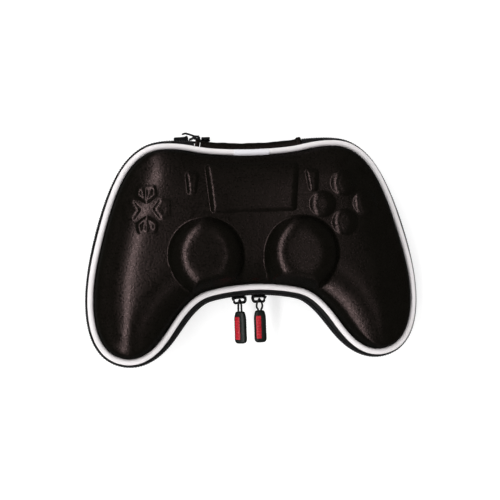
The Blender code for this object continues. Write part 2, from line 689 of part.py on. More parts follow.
def pull(side):
    c0 = SL_X[side] + (0.1 if side == "left" else 0.2)
    mats = (M_CORD, M_TAB, M_RED) if side == "left" else (M_CORDR, M_TABR, M_REDR)
    ax, ay = polar(ROD_R, c0)
    hook = (ax, ay, Z_SPLIT)
    spread = 1.0 if side == "left" else 1.75
    route = [(-1.0, -4.85, 0.35), (-spread, -3.4, 0.9), (-spread, -1.6, 1.35), (-0.75 * spread, -0.2, 1.75),
             (-0.4, 1.2, 1.25), (0.0, 1.7, 0.0), (0.4, 1.2, -1.25), (0.75 * spread, -0.2, -1.75),
             (spread, -1.6, -1.35), (spread, -3.4, -0.9), (1.0, -4.85, -0.35)]
    tube("pull_cord_" + side, [(ax + a, ay + b, Z_SPLIT + c) for a, b, c in route], 0.48, 6, mats[0], hook)
    w, top = TAB_W / 2, -5.3
    end = top - TAB_LEN
    plan = [(-w * 0.62, top), (w * 0.62, top), (w * 0.94, top - 1.6), (w, top - 8.0), (w, end + 2.6), (w * 0.8, end + 0.8),
            (w * 0.45, end), (-w * 0.45, end), (-w * 0.8, end + 0.8), (-w, end + 2.6), (-w, top - 8.0),
            (-w * 0.94, top - 1.6)]
    prism("pull_tab_" + side, [(ax + a, ay + b) for a, b in plan], Z_SPLIT - TAB_T / 2, Z_SPLIT + TAB_T / 2,
          mats[1], hook, chamfer=0.7)
    # raised strip beside the middle line of the tab's upper face
    s0, s1 = top - 3.2, end + 2.2
    strip = [(-w * 0.74, s0), (-w * 0.08, s0), (-w * 0.08, s1), (-w * 0.74, s1)]
    prism("pull_insert_" + side, [(ax + a, ay + b) for a, b in strip], Z_SPLIT + TAB_T / 2 + 0.1,
          Z_SPLIT + TAB_T / 2 + 0.75, mats[2], hook)


for side in ("left", "right"):
    pull(side)

# -- webbing tab sewn under the hinge band, with the eye of the snap hook round its neck
EYE = (-25.6, 68.5, 26.8)      # centre of the eye, turns about the y direction


def box_prism(name, x0, x1, y0, y1, z0, z1, mat, origin):
    return prism(name, [(x0, y0), (x1, y0), (x1, y1), (x0, y1)], z0, z1, mat, origin)


ex, ey, ez = EYE
foot = box_prism("web_foot", ex - 2.65, ex + 2.65, 62.0, 64.9, 28.6, 29.38, None, EYE)
neck = prism("web_neck", [(64.0, 28.65), (64.0, 29.33), (65.0, 29.33), (66.9, 27.4), (70.0, 27.4), (70.0, 26.2),
                          (66.5, 26.2), (64.6, 28.65)], ex - 1.2, ex + 1.2, None, EYE, axis="x")
flap = box_prism("web_flap", ex - 2.65, ex + 2.65, 69.5, 70.4, ez - 1.8, ez + 1.8, None, EYE)
combine("strap_tab", [("UNION", foot), ("UNION", neck), ("UNION", flap)], M_WEB, EYE)

# hook: nose block, spine behind the zip band, open window, head for the gate pin, eye
HZ0, HZ1 = ez - 1.2, ez + 1.2
plan = [(-28.0, 67.95), (-28.9, 67.6), (-30.2, 66.9), (-44.3, 66.9), (-45.2, 67.8), (-45.2, 70.2), (-44.7, 70.7),
        (-41.0, 70.8), (-38.3, 71.05), (-37.7, 71.55), (-36.9, 71.5), (-36.3, 70.7), (-36.3, 68.6), (-35.0, 68.05),
        (-30.5, 68.05), (-30.2, 68.4), (-30.2, 69.3), (-31.8, 69.35), (-32.1, 69.8), (-32.1, 70.5), (-31.7, 70.95),
        (-29.4, 70.95), (-28.9, 70.5), (-28.9, 69.1), (-28.0, 69.05)]
body = prism("hook_plan", plan, HZ0, HZ1, None, EYE)
eye = prism("hook_eye", circle(ex, ez, 3.0, 16), 67.85, 69.15, None, EYE, axis="y")
bore = prism("hook_bore", circle(ex, ez, 1.7, 14), 66.0, 72.0, None, EYE, axis="y")
PIN = (-31.0, 70.1)
pin_bore = prism("hook_pin_bore", circle(PIN[0], PIN[1], 0.42, 8), HZ0 - 1, HZ1 + 1, None, EYE)
combine("hook_body", [("UNION", body), ("UNION", eye), ("DIFFERENCE", bore), ("DIFFERENCE", pin_bore)], M_HOOK, EYE)

GP = (PIN[0], PIN[1], ez)
prism("gate_pin", circle(PIN[0], PIN[1], 0.32, 8), HZ0 - 0.85, HZ1 + 0.85, M_PIN, GP)
# gate: two ears beside the head, a bar that closes the window and a thumb lever over it
cheeks = []
for z0, z1 in ((HZ1 + 0.15, HZ1 + 0.6), (HZ0 - 0.6, HZ0 - 0.15)):
    ear = [(-33.0, 71.3), (-33.1, 69.75), (-31.9, 69.3), (-30.3, 69.3), (-29.8, 69.8), (-29.6, 71.3)]
    cheeks.append(prism("ear", ear, z0, z1, None, GP))
bar = prism("bar", [(-32.3, 71.3), (-32.3, 69.85), (-33.6, 69.5), (-34.6, 68.98), (-35.9, 68.95), (-35.95, 69.6),
                    (-34.2, 70.2), (-33.2, 71.2)], HZ0 - 0.6, HZ1 + 0.6, None, GP)
lever = prism("lever", [(-29.4, 71.1), (-29.4, 71.42), (-32.3, 71.65), (-35.2, 72.75), (-37.5, 73.5), (-38.4, 73.4),
                        (-40.2, 72.85), (-40.2, 72.4), (-38.1, 72.85), (-35.2, 72.1), (-33.0, 71.1)],
              HZ0 - 0.6, HZ1 + 0.6, None, GP)
gb = prism("gate_bore", circle(PIN[0], PIN[1], 0.42, 8), HZ0 - 2, HZ1 + 2, None, GP)
combine("hook_gate", [("UNION", lever), ("UNION", bar), ("UNION", cheeks[0]), ("UNION", cheeks[1]), ("DIFFERENCE", gb)],
        M_GATE, GP)
bpy.context.view_layer.update()
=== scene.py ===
import math

import bmesh
import bpy
import numpy as np
from mathutils import Matrix, Vector
from mathutils.geometry import delaunay_2d_cdt


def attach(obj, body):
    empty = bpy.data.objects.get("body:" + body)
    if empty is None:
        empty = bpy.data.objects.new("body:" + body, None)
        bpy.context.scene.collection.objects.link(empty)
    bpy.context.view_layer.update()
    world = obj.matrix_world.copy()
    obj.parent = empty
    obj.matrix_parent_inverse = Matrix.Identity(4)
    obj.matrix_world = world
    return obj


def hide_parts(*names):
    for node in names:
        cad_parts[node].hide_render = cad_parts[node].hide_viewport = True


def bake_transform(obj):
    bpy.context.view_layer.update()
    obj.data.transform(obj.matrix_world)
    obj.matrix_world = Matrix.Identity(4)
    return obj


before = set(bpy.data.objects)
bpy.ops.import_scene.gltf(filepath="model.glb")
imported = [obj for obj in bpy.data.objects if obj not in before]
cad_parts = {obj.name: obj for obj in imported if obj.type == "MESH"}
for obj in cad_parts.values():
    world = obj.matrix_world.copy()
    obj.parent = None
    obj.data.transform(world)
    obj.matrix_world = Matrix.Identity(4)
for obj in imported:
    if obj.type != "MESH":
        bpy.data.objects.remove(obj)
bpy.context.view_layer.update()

MM = 0.001
Y0 = -2.71

Z_SPLIT = 34.0
Z_LID_PIPE = 40.5
Z_BASE_PIPE = 27.5
Z_LID_RIM = 39.2
Z_BASE_RIM = 28.8
PIPE_R = 1.65
WALL_IN = 1.9
SHELL_T = 3.0
HINGE_X = 30.0
ARC_R = 120.0
ARC_Y = -22.3 - ARC_R

# right half of the piping centre line: x, y, and how far the zip band stands out
HALF = [
    (0.0, 58.5, 6.5), (15.0, 59.0, 6.5), (30.0, 60.6, 6.3), (36.0, 61.8, 5.6),
    (42.0, 62.7, 4.8), (51.0, 63.1, 4.3), (59.5, 61.6, 4.1), (66.5, 57.6, 4.0),
    (73.0, 51.0, 3.9), (78.5, 42.0, 3.9), (83.6, 30.0, 4.1), (88.3, 15.6, 4.3),
    (92.3, 1.0, 4.2), (95.3, -13.2, 4.0), (96.7, -27.6, 4.0), (95.8, -41.5, 4.1),
    (92.6, -52.0, 4.2), (87.0, -59.5, 4.2), (80.0, -63.2, 4.1), (73.0, -64.0, 4.1),
    (65.5, -61.9, 4.3), (58.0, -56.4, 4.8), (51.6, -48.7, 5.3), (44.4, -38.6, 5.6),
    (37.5, -31.2, 5.6), (30.0, -26.4, 5.35), (24.0, -24.7, 5.3), (12.0, -22.9, 5.3),
    (0.0, -22.3, 5.3),
]
DOMES = [(-28.1, -2.6), (27.2, -3.0)]
DOME_FOOT, DOME_TOP, DOME_H = 21.5, 12.4, 8.0
PAD = [(-27.5, 50.3), (27.5, 50.3), (24.6, 21.2), (-24.6, 21.2)]
DPAD_C = (-61.3, 24.4)
FACE = [(53.0, 36.8), (65.9, 24.8), (52.9, 13.9), (40.2, 24.8)]
FACE_R = 7.8
PILLS = [[(-38.9, 45.6), (-30.4, 45.6), (-32.6, 32.2), (-37.8, 32.2)],
         [(30.4, 45.6), (38.9, 45.6), (37.8, 32.2), (32.6, 32.2)]]


# ================================================================ outline
def periodic_spline(pts, n):
    """Closed cubic spline through pts, sampled at n even arc lengths."""
    m = len(pts)
    xy = pts[:, :2]
    gap = np.hypot(*(np.roll(xy, -1, 0) - xy).T)
    d = np.r_[0.0, np.cumsum(gap)]
    a = np.zeros((m, m))
    b = np.zeros((m, pts.shape[1]))
    for i in range(m):
        hm, hi = gap[i - 1], gap[i]
        a[i, (i - 1) % m] += hm
        a[i, i] += 2 * (hm + hi)
        a[i, (i + 1) % m] += hi
        b[i] = 6 * ((pts[(i + 1) % m] - pts[i]) / hi - (pts[i] - pts[i - 1]) / hm)
    mm = np.linalg.solve(a, b)

    def at(s):
        k = np.clip(np.searchsorted(d, s, side="right") - 1, 0, m - 1)
        k1 = (k + 1) % m
        hi = gap[k][:, None]
        u = (s - d[k])[:, None]
        v = hi - u
        return ((mm[k] * v ** 3 + mm[k1] * u ** 3) / (6 * hi)
                + (pts[k] / hi - mm[k] * hi / 6) * v + (pts[k1] / hi - mm[k1] * hi / 6) * u)

    fine = at(np.linspace(0, d[-1], 8 * n, endpoint=False))
    seg = np.hypot(*(np.roll(fine[:, :2], -1, 0) - fine[:, :2]).T)
    arc = np.r_[0.0, np.cumsum(seg)]
    fine = np.vstack([fine, fine[:1]])
    want = np.linspace(0, arc[-1], n, endpoint=False)
    return np.column_stack([np.interp(want, arc, fine[:, j]) for j in range(pts.shape[1])]), arc[-1]


FULL = np.array(HALF + [(-x, y, b) for x, y, b in HALF[-2:0:-1]])
NF = 2400
_xy, LENGTH = periodic_spline(FULL[:, :2], NF)
_ctrl = np.r_[0.0, np.cumsum(np.hypot(*(np.roll(FULL[:, :2], -1, 0) - FULL[:, :2]).T))]
_ctrl *= LENGTH / _ctrl[-1]
_s = np.linspace(0, LENGTH, NF, endpoint=False)
_b = np.interp(_s, _ctrl, np.r_[FULL[:, 2], FULL[0, 2]])
_k = int(round(5.0 / (LENGTH / NF)))
_b = np.mean([np.roll(_b, j) for j in range(-_k, _k + 1)], axis=0)
_t = np.roll(_xy, -1, 0) - np.roll(_xy, 1, 0)
_t /= np.hypot(*_t.T)[:, None]
_n = np.column_stack([-_t[:, 1], _t[:, 0]])
_sx = np.r_[_s, LENGTH]
_cols = [np.r_[c, c[0]] for c in (_xy[:, 0], _xy[:, 1], _n[:, 0], _n[:, 1], _b)]


def along(s):
    """Points, outward normals and zip bulge at arc lengths s from the back centre."""
    s = np.mod(np.asarray(s, float), LENGTH)
    px, py, nx, ny, b = [np.interp(s, _sx, c) for c in _cols]
    ln = np.hypot(nx, ny)
    return px, py, nx / ln, ny / ln, b


def arc_of_x(x):
    """Arc length of the point of the back edge with this x."""
    ss = np.linspace(0, LENGTH / 2, 3000)
    xs = np.interp(ss, _s, _xy[:, 0])
    ys = np.interp(ss, _s, _xy[:, 1])
    s = ss[np.argmin(np.where((ys > 50) & (xs < 56), np.abs(xs - abs(x)), 1e9))]
    return s if x >= 0 else LENGTH - s


def inset(x, y):
    """Exact distance inside the shell wall, negative outside it."""
    p = np.column_stack([np.ravel(x), np.ravel(y)])
    out = np.empty(len(p))
    c = _xy
    nxt = np.roll(c, -1, 0)
    for i in range(0, len(p), 3000):
        q = p[i:i + 3000]
        d2 = (q[:, None, 0] - c[None, ::3, 0]) ** 2 + (q[:, None, 1] - c[None, ::3, 1]) ** 2
        near = d2.argmin(1) * 3
        best = np.full(len(q), 1e9)
        sign = np.ones(len(q))
        for off in range(-3, 3):
            k = (near + off) % NF
            a, b = c[k], nxt[k]
            e = b - a
            u = np.clip(((q - a) * e).sum(1) / (e * e).sum(1), 0, 1)
            r = q - (a + e * u[:, None])
            d = np.hypot(*r.T)
            better = d < best
            best = np.where(better, d, best)
            sign = np.where(better, np.sign(-(r * _n[k]).sum(1)), sign)
        out[i:i + 3000] = best * sign
    return (out - WALL_IN).reshape(np.shape(x))


# ================================================================ curves
def spline(pts, step, closed=False):
    """Even samples of a natural or closed cubic spline through points of any dimension."""
    p = np.array(pts, float)
    if closed:
        p = np.vstack([p[-3:], p, p[:4]])
    d = np.r_[0.0, np.cumsum(np.linalg.norm(np.diff(p, axis=0), axis=1))]
    n = len(p)
    a = np.eye(n)
    b = np.zeros_like(p)
    for i in range(1, n - 1):
        h0, h1 = d[i] - d[i - 1], d[i + 1] - d[i]
        a[i, i - 1:i + 2] = (h0, 2 * (h0 + h1), h1)
        b[i] = 6 * ((p[i + 1] - p[i]) / h1 - (p[i] - p[i - 1]) / h0)
    m = np.linalg.solve(a, b)
    lo, hi = (d[3], d[n - 4]) if closed else (0.0, d[-1])
    t = np.linspace(lo, hi, 60 * n)
    k = np.clip(np.searchsorted(d, t, side="right") - 1, 0, n - 2)
    h = (d[k + 1] - d[k])[:, None]
    u = (t - d[k])[:, None]
    v = h - u
    f = (m[k] * v ** 3 + m[k + 1] * u ** 3) / (6 * h) + (p[k] / h - m[k] * h / 6) * v + (p[k + 1] / h - m[k + 1] * h / 6) * u
    arc = np.r_[0.0, np.cumsum(np.linalg.norm(np.diff(f, axis=0), axis=1))]
    cnt = max(3, int(round(arc[-1] / step)) + 1)
    want = np.linspace(0, arc[-1], cnt)
    if closed:
        want = want[:-1]
    return np.column_stack([np.interp(want, arc, f[:, j]) for j in range(f.shape[1])])


def corner_round(pts, r, step=0.4, closed=False):
    """Polyline with its corners turned into arcs of about r, evenly resampled."""
    p = np.array(pts, float)
    n = len(p)
    out = []
    for i in range(n):
        if not closed and i in (0, n - 1):
            out.append(p[i])
            continue
        a, b, c = p[i - 1], p[i], p[(i + 1) % n]
        ua, uc = a - b, c - b
        la, lc = np.linalg.norm(ua), np.linalg.norm(uc)
        cut = min(r, 0.48 * la, 0.48 * lc)
        p0, p2 = b + ua / la * cut, b + uc / lc * cut
        for t in np.linspace(0, 1, 7):
            out.append((1 - t) ** 2 * p0 + 2 * t * (1 - t) * b + t * t * p2)
    out = np.array(out)
    if closed:
        out = np.vstack([out, out[:1]])
    arc = np.r_[0.0, np.cumsum(np.linalg.norm(np.diff(out, axis=0), axis=1))]
    keep = np.r_[True, np.diff(arc) > 1e-6]
    out, arc = out[keep], arc[keep]
    cnt = max(3, int(round(arc[-1] / step)) + 1)
    want = np.linspace(0, arc[-1], cnt)
    if closed:
        want = want[:-1]
    return np.column_stack([np.interp(want, arc, out[:, j]) for j in range(out.shape[1])])


# ================================================================ meshes
def grid_faces(n, m, wrap_n=False, wrap_m=False, base=0):
    i = np.arange(n if wrap_n else n - 1)
    k = np.arange(m if wrap_m else m - 1)
    a, b = [g.ravel() for g in np.meshgrid(i, k, indexing="ij")]
    a1, b1 = (a + 1) % n, (b + 1) % m
    return (np.column_stack([a * m + b, a * m + b1, a1 * m + b1, a1 * m + b]) + base).tolist()


def emit(name, verts, faces, mats, index=None, sharp=40.0, recalc=True):
    """Mesh object in metres from millimetre points in the outline frame."""
    v = np.array(verts, float)
    v[:, 1] += Y0
    v *= MM
    me = bpy.data.meshes.new(name)
    me.from_pydata(v.tolist(), [], [tuple(f) for f in faces])
    if index is not None:
        me.polygons.foreach_set("material_index", np.asarray(index, np.int32))
    if recalc:
        bm = bmesh.new()
        bm.from_mesh(me)
        bmesh.ops.recalc_face_normals(bm, faces=bm.faces)
        bm.to_mesh(me)
        bm.free()
    me.update()
    me.shade_smooth()
    if sharp:
        me.set_sharp_from_angle(angle=math.radians(sharp))
    ob = bpy.data.objects.new(name, me)
    for m in mats:
        me.materials.append(m)
    bpy.context.scene.collection.objects.link(ob)
    return ob


def merge(parts):
    """One vertex and face list from several."""
    verts, faces, k = [], [], 0
    for v, f in parts:
        verts.append(np.asarray(v, float))
        faces += [tuple(q + k for q in face) for face in f]
        k += len(v)
    return np.vstack(verts), faces


def fuse(parts, voxel, smooth=4, ratio=None):
    """Closed shells in millimetres melted into one cast-like skin."""
    v, f = merge(parts)
    me = bpy.data.meshes.new("fuse_tmp")
    me.from_pydata(v.tolist(), [], f)
    bm = bmesh.new()
    bm.from_mesh(me)
    bmesh.ops.recalc_face_normals(bm, faces=bm.faces)
    bm.to_mesh(me)
    bm.free()
    ob = bpy.data.objects.new("fuse_tmp", me)
    bpy.context.scene.collection.objects.link(ob)
    rm = ob.modifiers.new("r", "REMESH")
    rm.mode = "VOXEL"
    rm.voxel_size = voxel
    sm = ob.modifiers.new("s", "SMOOTH")
    sm.factor = 0.5
    sm.iterations = smooth
    if ratio:
        dc = ob.modifiers.new("d", "DECIMATE")
        dc.ratio = ratio
    bpy.context.view_layer.update()
    dg = bpy.context.evaluated_depsgraph_get()
    out = bpy.data.meshes.new_from_object(ob.evaluated_get(dg))
    co = np.empty(len(out.vertices) * 3)
    out.vertices.foreach_get("co", co)
    faces = [tuple(p.vertices) for p in out.polygons]
    bpy.data.objects.remove(ob)
    bpy.data.meshes.remove(out)
    return co.reshape(-1, 3), faces


def sweep(section, s, closed=False, caps=True):
    """Skin of (d, z) sections carried along the outline: section(b, s) gives two n x m arrays."""
    px, py, nx, ny, b = along(s)
    d, z = section(b, np.asarray(s, float))
    n, m = d.shape
    v = np.stack([px[:, None] + nx[:, None] * d, py[:, None] + ny[:, None] * d, z], -1).reshape(-1, 3)
    f = grid_faces(n, m, closed, True)
    if not closed and caps:
        f.append(tuple(range(m)))
        f.append(tuple((n - 1) * m + k for k in reversed(range(m))))
    return v, f


def tube(path, r, sides=14, closed=False, ripple=None, up=None):
    """Round bar along 3-D points, ends closed and rounded; r may vary."""
    p = np.array(path, float)
    n = len(p)
    r = np.broadcast_to(np.asarray(r, float), (n,)).copy()
    if closed:
        t = np.roll(p, -1, 0) - np.roll(p, 1, 0)
    else:
        t = np.gradient(p, axis=0)
    t /= np.linalg.norm(t, axis=1)[:, None]
    ref = np.array([0.0, 0.0, 1.0]) if abs(t[0][2]) < 0.8 else np.array([1.0, 0.0, 0.0])
    if up is not None:
        ref = np.array(up, float)
    us = np.empty_like(p)
    u = np.cross(t[0], ref)
    u /= np.linalg.norm(u)
    for i in range(n):
        u = u - t[i] * np.dot(u, t[i])
        u /= np.linalg.norm(u)
        us[i] = u
    vs = np.cross(t, us)
    ang = 2 * math.pi * np.arange(sides) / sides
    k = np.ones((n, sides))
    if ripple is not None:
        k = ripple(np.arange(n)[:, None], ang[None, :])
    ring = p[:, None, :] + (r[:, None] * k)[..., None] * (np.cos(ang)[None, :, None] * us[:, None, :]
                                                         + np.sin(ang)[None, :, None] * vs[:, None, :])
    v = ring.reshape(-1, 3)
    f = grid_faces(n, sides, closed, True)
    if not closed:
        extra, kk = [], len(v)
        for end, sgn in ((0, -1.0), (n - 1, 1.0)):
            prev = [end * sides + j for j in range(sides)]
            for a in (30, 60):
                rr, off = math.cos(math.radians(a)), math.sin(math.radians(a))
                c = p[end] + sgn * t[end] * r[end] * off * 0.8
                pts = c + rr * (ring[end] - p[end])
                ids = list(range(kk, kk + sides))
                kk += sides
                extra.append(pts)
                for j in range(sides):
                    f.append((prev[j], prev[(j + 1) % sides], ids[(j + 1) % sides], ids[j]))
                prev = ids
            extra.append((p[end] + sgn * t[end] * r[end] * 0.82)[None])
            for j in range(sides):
                f.append((prev[j], prev[(j + 1) % sides], kk))
            kk += 1
        v = np.vstack([v] + extra)
    return v, f


def prism(outline, z0, z1, put=lambda a, b, c: (a, b, c), levels=2):
    """Straight body over an outline; put places (a, b, height)."""
    m = len(outline)
    zs = np.linspace(z0, z1, levels)
    v = [put(float(a), float(b), float(z)) for z in zs for a, b in outline]
    f = grid_faces(levels, m, False, True)
    f.append(tuple(range(m)))
    f.append(tuple((levels - 1) * m + k for k in reversed(range(m))))
    return np.array(v), f


def stitches(pos, tang, norm, length, r, lift=0.1):
    """Row of sewing stitches: short threads that dip into the cloth at both ends."""
    seg, sides = 6, 6
    u = np.linspace(-1, 1, seg)
    ang = 2 * math.pi * np.arange(sides) / sides
    rad = r * np.sqrt(np.clip(1 - (u * 0.98) ** 4, 0.02, 1))
    lx = np.repeat(u * length / 2, sides)
    ly = np.outer(rad, np.cos(ang)).ravel()
    lz = (np.outer(rad, np.sin(ang)) * 0.8 + (lift + r * 0.4) * (1 - u[:, None] ** 2) - r * 0.5).ravel()
    tf = grid_faces(seg, sides, False, True)
    tf.append(tuple(range(sides)))
    tf.append(tuple((seg - 1) * sides + k for k in reversed(range(sides))))
    pos, tang, norm = [np.asarray(a, float) for a in (pos, tang, norm)]
    side = np.cross(norm, tang)
    v = (pos[:, None, :] + lx[None, :, None] * tang[:, None, :] + ly[None, :, None] * side[:, None, :]
         + lz[None, :, None] * norm[:, None, :]).reshape(-1, 3)
    m = len(lx)
    f = [tuple(q + i * m for q in face) for i in range(len(pos)) for face in tf]
    return v, f


# ================================================================ materials
class Mat:
    """Small helper that wires a Principled material."""

    def __init__(self, name, rough=0.5, metal=0.0, spec=0.5, color=(0.5, 0.5, 0.5)):
        self.m = bpy.data.materials.new(name)
        self.m.use_nodes = True
        self.nt = self.m.node_tree
        self.b = self.nt.nodes["Principled BSDF"]
        self.b.inputs["Roughness"].default_value = rough
        self.b.inputs["Metallic"].default_value = metal
        self.b.inputs["Specular IOR Level"].default_value = spec
        self.b.inputs["Base Color"].default_value = (*color, 1)
        self.co = self.nt.nodes.new("ShaderNodeTexCoord").outputs["Object"]
        self.bump_in = None

    def new(self, kind):
        return self.nt.nodes.new("ShaderNode" + kind)

    def link(self, a, b):
        self.nt.links.new(a, b)

    def feed(self, sock, val):
        if isinstance(val, bpy.types.NodeSocket):
            self.link(val, sock)
        else:
            sock.default_value = val

    def math(self, op, a, b=0.0, c=None, clamp=False):
        n = self.new("Math")
        n.operation = op
        n.use_clamp = clamp
        self.feed(n.inputs[0], a)
        self.feed(n.inputs[1], b)
        if c is not None:
            self.feed(n.inputs[2], c)
        return n.outputs[0]

    def scaled(self, k, src=None):
        n = self.new("VectorMath")
        n.operation = "MULTIPLY"
        self.link(src or self.co, n.inputs[0])
        n.inputs[1].default_value = k if isinstance(k, (tuple, list)) else (k, k, k)
        return n.outputs[0]

    def noise(self, scale, detail=3.0, rough=0.55, stretch=None, distort=0.0):
        n = self.new("TexNoise")
        self.link(self.scaled(stretch) if stretch else self.co, n.inputs["Vector"])
        n.inputs["Scale"].default_value = scale
        n.inputs["Detail"].default_value = detail
        n.inputs["Roughness"].default_value = rough
        n.inputs["Distortion"].default_value = distort
        return n.outputs["Fac"]

    def voronoi(self, scale, feature="F1"):
        n = self.new("TexVoronoi")
        n.feature = feature
        self.link(self.co, n.inputs["Vector"])
        n.inputs["Scale"].default_value = scale
        return n.outputs["Distance"]

    def ramp(self, fac, stops):
        n = self.new("ValToRGB")
        self.feed(n.inputs[0], fac)
        el = n.color_ramp.elements
        while len(el) < len(stops):
            el.new(0.5)
        for e, (pos, col) in zip(el, stops):
            e.position = pos
            e.color = (*col, 1)
        return n.outputs["Color"]

    def span(self, fac, lo, hi, a=0.0, b=1.0):
        n = self.new("MapRange")
        n.clamp = True
        self.feed(n.inputs["Value"], fac)
        n.inputs["From Min"].default_value = a
        n.inputs["From Max"].default_value = b
        n.inputs["To Min"].default_value = lo
        n.inputs["To Max"].default_value = hi
        return n.outputs["Result"]

    def bump(self, height, dist, strength=1.0):
        n = self.new("Bump")
        n.inputs["Distance"].default_value = dist
        n.inputs["Strength"].default_value = strength
        self.feed(n.inputs["Height"], height)
        if self.bump_in is not None:
            self.link(self.bump_in, n.inputs["Normal"])
        self.bump_in = n.outputs["Normal"]
        self.link(self.bump_in, self.b.inputs["Normal"])

    def weave(self, pitch, twill=False):
        """Height of a woven cloth with this thread pitch in metres, on whichever plane the surface faces."""
        sep = self.new("SeparateXYZ")
        self.link(self.scaled(2 * math.pi / pitch), sep.inputs[0])
        nrm = self.new("SeparateXYZ")
        tc = self.new("TexCoord")
        self.link(tc.outputs["Normal"], nrm.inputs[0])
        x, y, z = sep.outputs[:3]
        total, wsum = None, None
        for a, b, c in ((x, y, 2), (x, z, 1), (y, z, 0)):
            w = self.math("POWER", self.math("ABSOLUTE", nrm.outputs[c]), 3.0)
            if twill:
                ph = self.math("ADD", a, b)
                h = self.math("MULTIPLY", self.math("SINE", ph), self.math("SINE", self.math("MULTIPLY", b, 0.5)))
            else:
                h = self.math("MULTIPLY", self.math("SINE", a), self.math("SINE", b))
            h = self.math("MULTIPLY", h, w)
            total = h if total is None else self.math("ADD", total, h)
            wsum = w if wsum is None else self.math("ADD", wsum, w)
        return self.math("MULTIPLY_ADD", self.math("DIVIDE", total, wsum), 0.5, 0.5)


def shell_cloth(name, aniso=0.85, along_y=True):
    """Satin-faced cloth: dark warm black, its gloss drawn out along the threads."""
    m = Mat(name, rough=0.36, spec=0.25)
    blotch = m.noise(110, 3, 0.6)
    fleck = m.noise(950, 1.0, 0.5)
    w = m.weave(0.00072)
    col = m.ramp(blotch, [(0.25, (0.0031, 0.0029, 0.0020)), (0.75, (0.0047, 0.0044, 0.0032))])
    mix = m.new("Mix")
    mix.data_type = "RGBA"
    mix.blend_type = "MULTIPLY"
    mix.inputs["Factor"].default_value = 1.0
    m.link(col, mix.inputs[6])
    m.link(m.ramp(m.math("MULTIPLY_ADD", w, 0.5, m.math("MULTIPLY", fleck, 0.5)),
                  [(0.2, (0.55, 0.55, 0.55)), (0.8, (1.25, 1.25, 1.25))]), mix.inputs[7])
    m.link(mix.outputs[2], m.b.inputs["Base Color"])
    r = m.math("ADD", m.span(blotch, 0.31, 0.36), m.span(fleck, -0.11, 0.11, 0.25, 0.75))
    m.link(r, m.b.inputs["Roughness"])
    m.b.inputs["Specular Tint"].default_value = (1.0, 0.71, 0.70, 1)
    if aniso:
        m.b.inputs["Anisotropic"].default_value = aniso
        vt = m.new("VectorTransform")
        vt.vector_type = "VECTOR"
        vt.convert_from = "OBJECT"
        vt.convert_to = "WORLD"
        vt.inputs[0].default_value = (0.0, 1.0, 0.0) if along_y else (1.0, 0.0, 0.0)
        m.link(vt.outputs[0], m.b.inputs["Tangent"])
    m.bump(m.noise(420, 2, 0.5), 0.00001)
    m.bump(w, 0.000009)
    m.bump(fleck, 0.00007)
    return m.m


def lining_cloth(name, tone=1.0):
    m = Mat(name, rough=0.85, spec=0.25)
    w = m.weave(0.0010)
    fz = m.noise(1800, 3, 0.6)
    col = m.ramp(m.math("MULTIPLY_ADD", w, 0.6, m.math("MULTIPLY", fz, 0.4)),
                 [(0.2, tuple(tone * c for c in (0.012, 0.012, 0.013))), (0.85, tuple(tone * c for c in (0.034, 0.033, 0.034)))])
    m.link(col, m.b.inputs["Base Color"])
    m.b.inputs["Sheen Weight"].default_value = 0.25
    m.b.inputs["Sheen Roughness"].default_value = 0.5
    m.link(m.span(m.noise(90, 2), 0.78, 0.95), m.b.inputs["Roughness"])
    m.bump(fz, 0.00012)
    m.bump(w, 0.00008)
    return m.m


def piping_cloth(name, tint=(0.885, 0.845, 0.85)):
    m = Mat(name, rough=0.5, spec=0.4)
    soil = m.noise(60, 4, 0.6)
    grain = m.noise(3000, 2, 0.6)
    w = m.weave(0.00055)
    d = tuple(c * 0.90 for c in tint)
    m.link(m.ramp(soil, [(0.25, d), (0.6, tint)]), m.b.inputs["Base Color"])
    m.link(m.span(grain, 0.42, 0.62), m.b.inputs["Roughness"])
    m.bump(m.noise(700, 3, 0.6), 0.00008)
    m.bump(w, 0.000035)
    return m.m


def tape_cloth(name, k=1.0, pitch=0.0007):
    m = Mat(name, rough=0.75, spec=0.3)
    w = m.weave(pitch, twill=True)
    fz = m.noise(2200, 2)
    m.link(m.ramp(m.math("MULTIPLY_ADD", w, 0.65, m.math("MULTIPLY", fz, 0.35)),
                  [(0.2, (0.0035 * k, 0.0035 * k, 0.004 * k)), (0.85, (0.016 * k, 0.0155 * k, 0.016 * k))]),
           m.b.inputs["Base Color"])
    m.link(m.span(fz, 0.65, 0.85), m.b.inputs["Roughness"])
    m.bump(w, 0.00008)
    return m.m


def coil_nylon(name):
    m = Mat(name, rough=0.32, spec=0.5)
    g = m.noise(900, 3)
    m.link(m.ramp(g, [(0.3, (0.006, 0.006, 0.0065)), (0.7, (0.012, 0.012, 0.0125))]), m.b.inputs["Base Color"])
    m.link(m.span(g, 0.26, 0.42), m.b.inputs["Roughness"])
    m.bump(m.noise(5000, 2), 0.00001)
    return m.m


def painted_metal(name, base=(0.010, 0.010, 0.0105), worn=(0.16, 0.16, 0.165), rough=0.3, wear=0.56):
    """Black plated casting, rubbed bright on its edges."""
    m = Mat(name, rough=rough, metal=1.0, spec=0.5)
    geo = m.new("NewGeometry")
    grit = m.noise(1500, 4, 0.65)
    edge = m.math("ADD", geo.outputs["Pointiness"], m.span(grit, -0.03, 0.03))
    mask = m.span(edge, 0.0, 1.0, wear, wear + 0.05)
    mix = m.new("Mix")
    mix.data_type = "RGBA"
    m.link(mask, mix.inputs["Factor"])
    m.link(m.ramp(m.noise(300, 2), [(0.3, base), (0.7, tuple(c * 1.7 for c in base))]), mix.inputs[6])
    mix.inputs[7].default_value = (*worn, 1)
    m.link(mix.outputs[2], m.b.inputs["Base Color"])
    m.link(m.math("ADD", m.span(grit, rough - 0.07, rough + 0.1), m.math("MULTIPLY", mask, 0.08)), m.b.inputs["Roughness"])
    m.bump(grit, 0.000015)
    return m.m


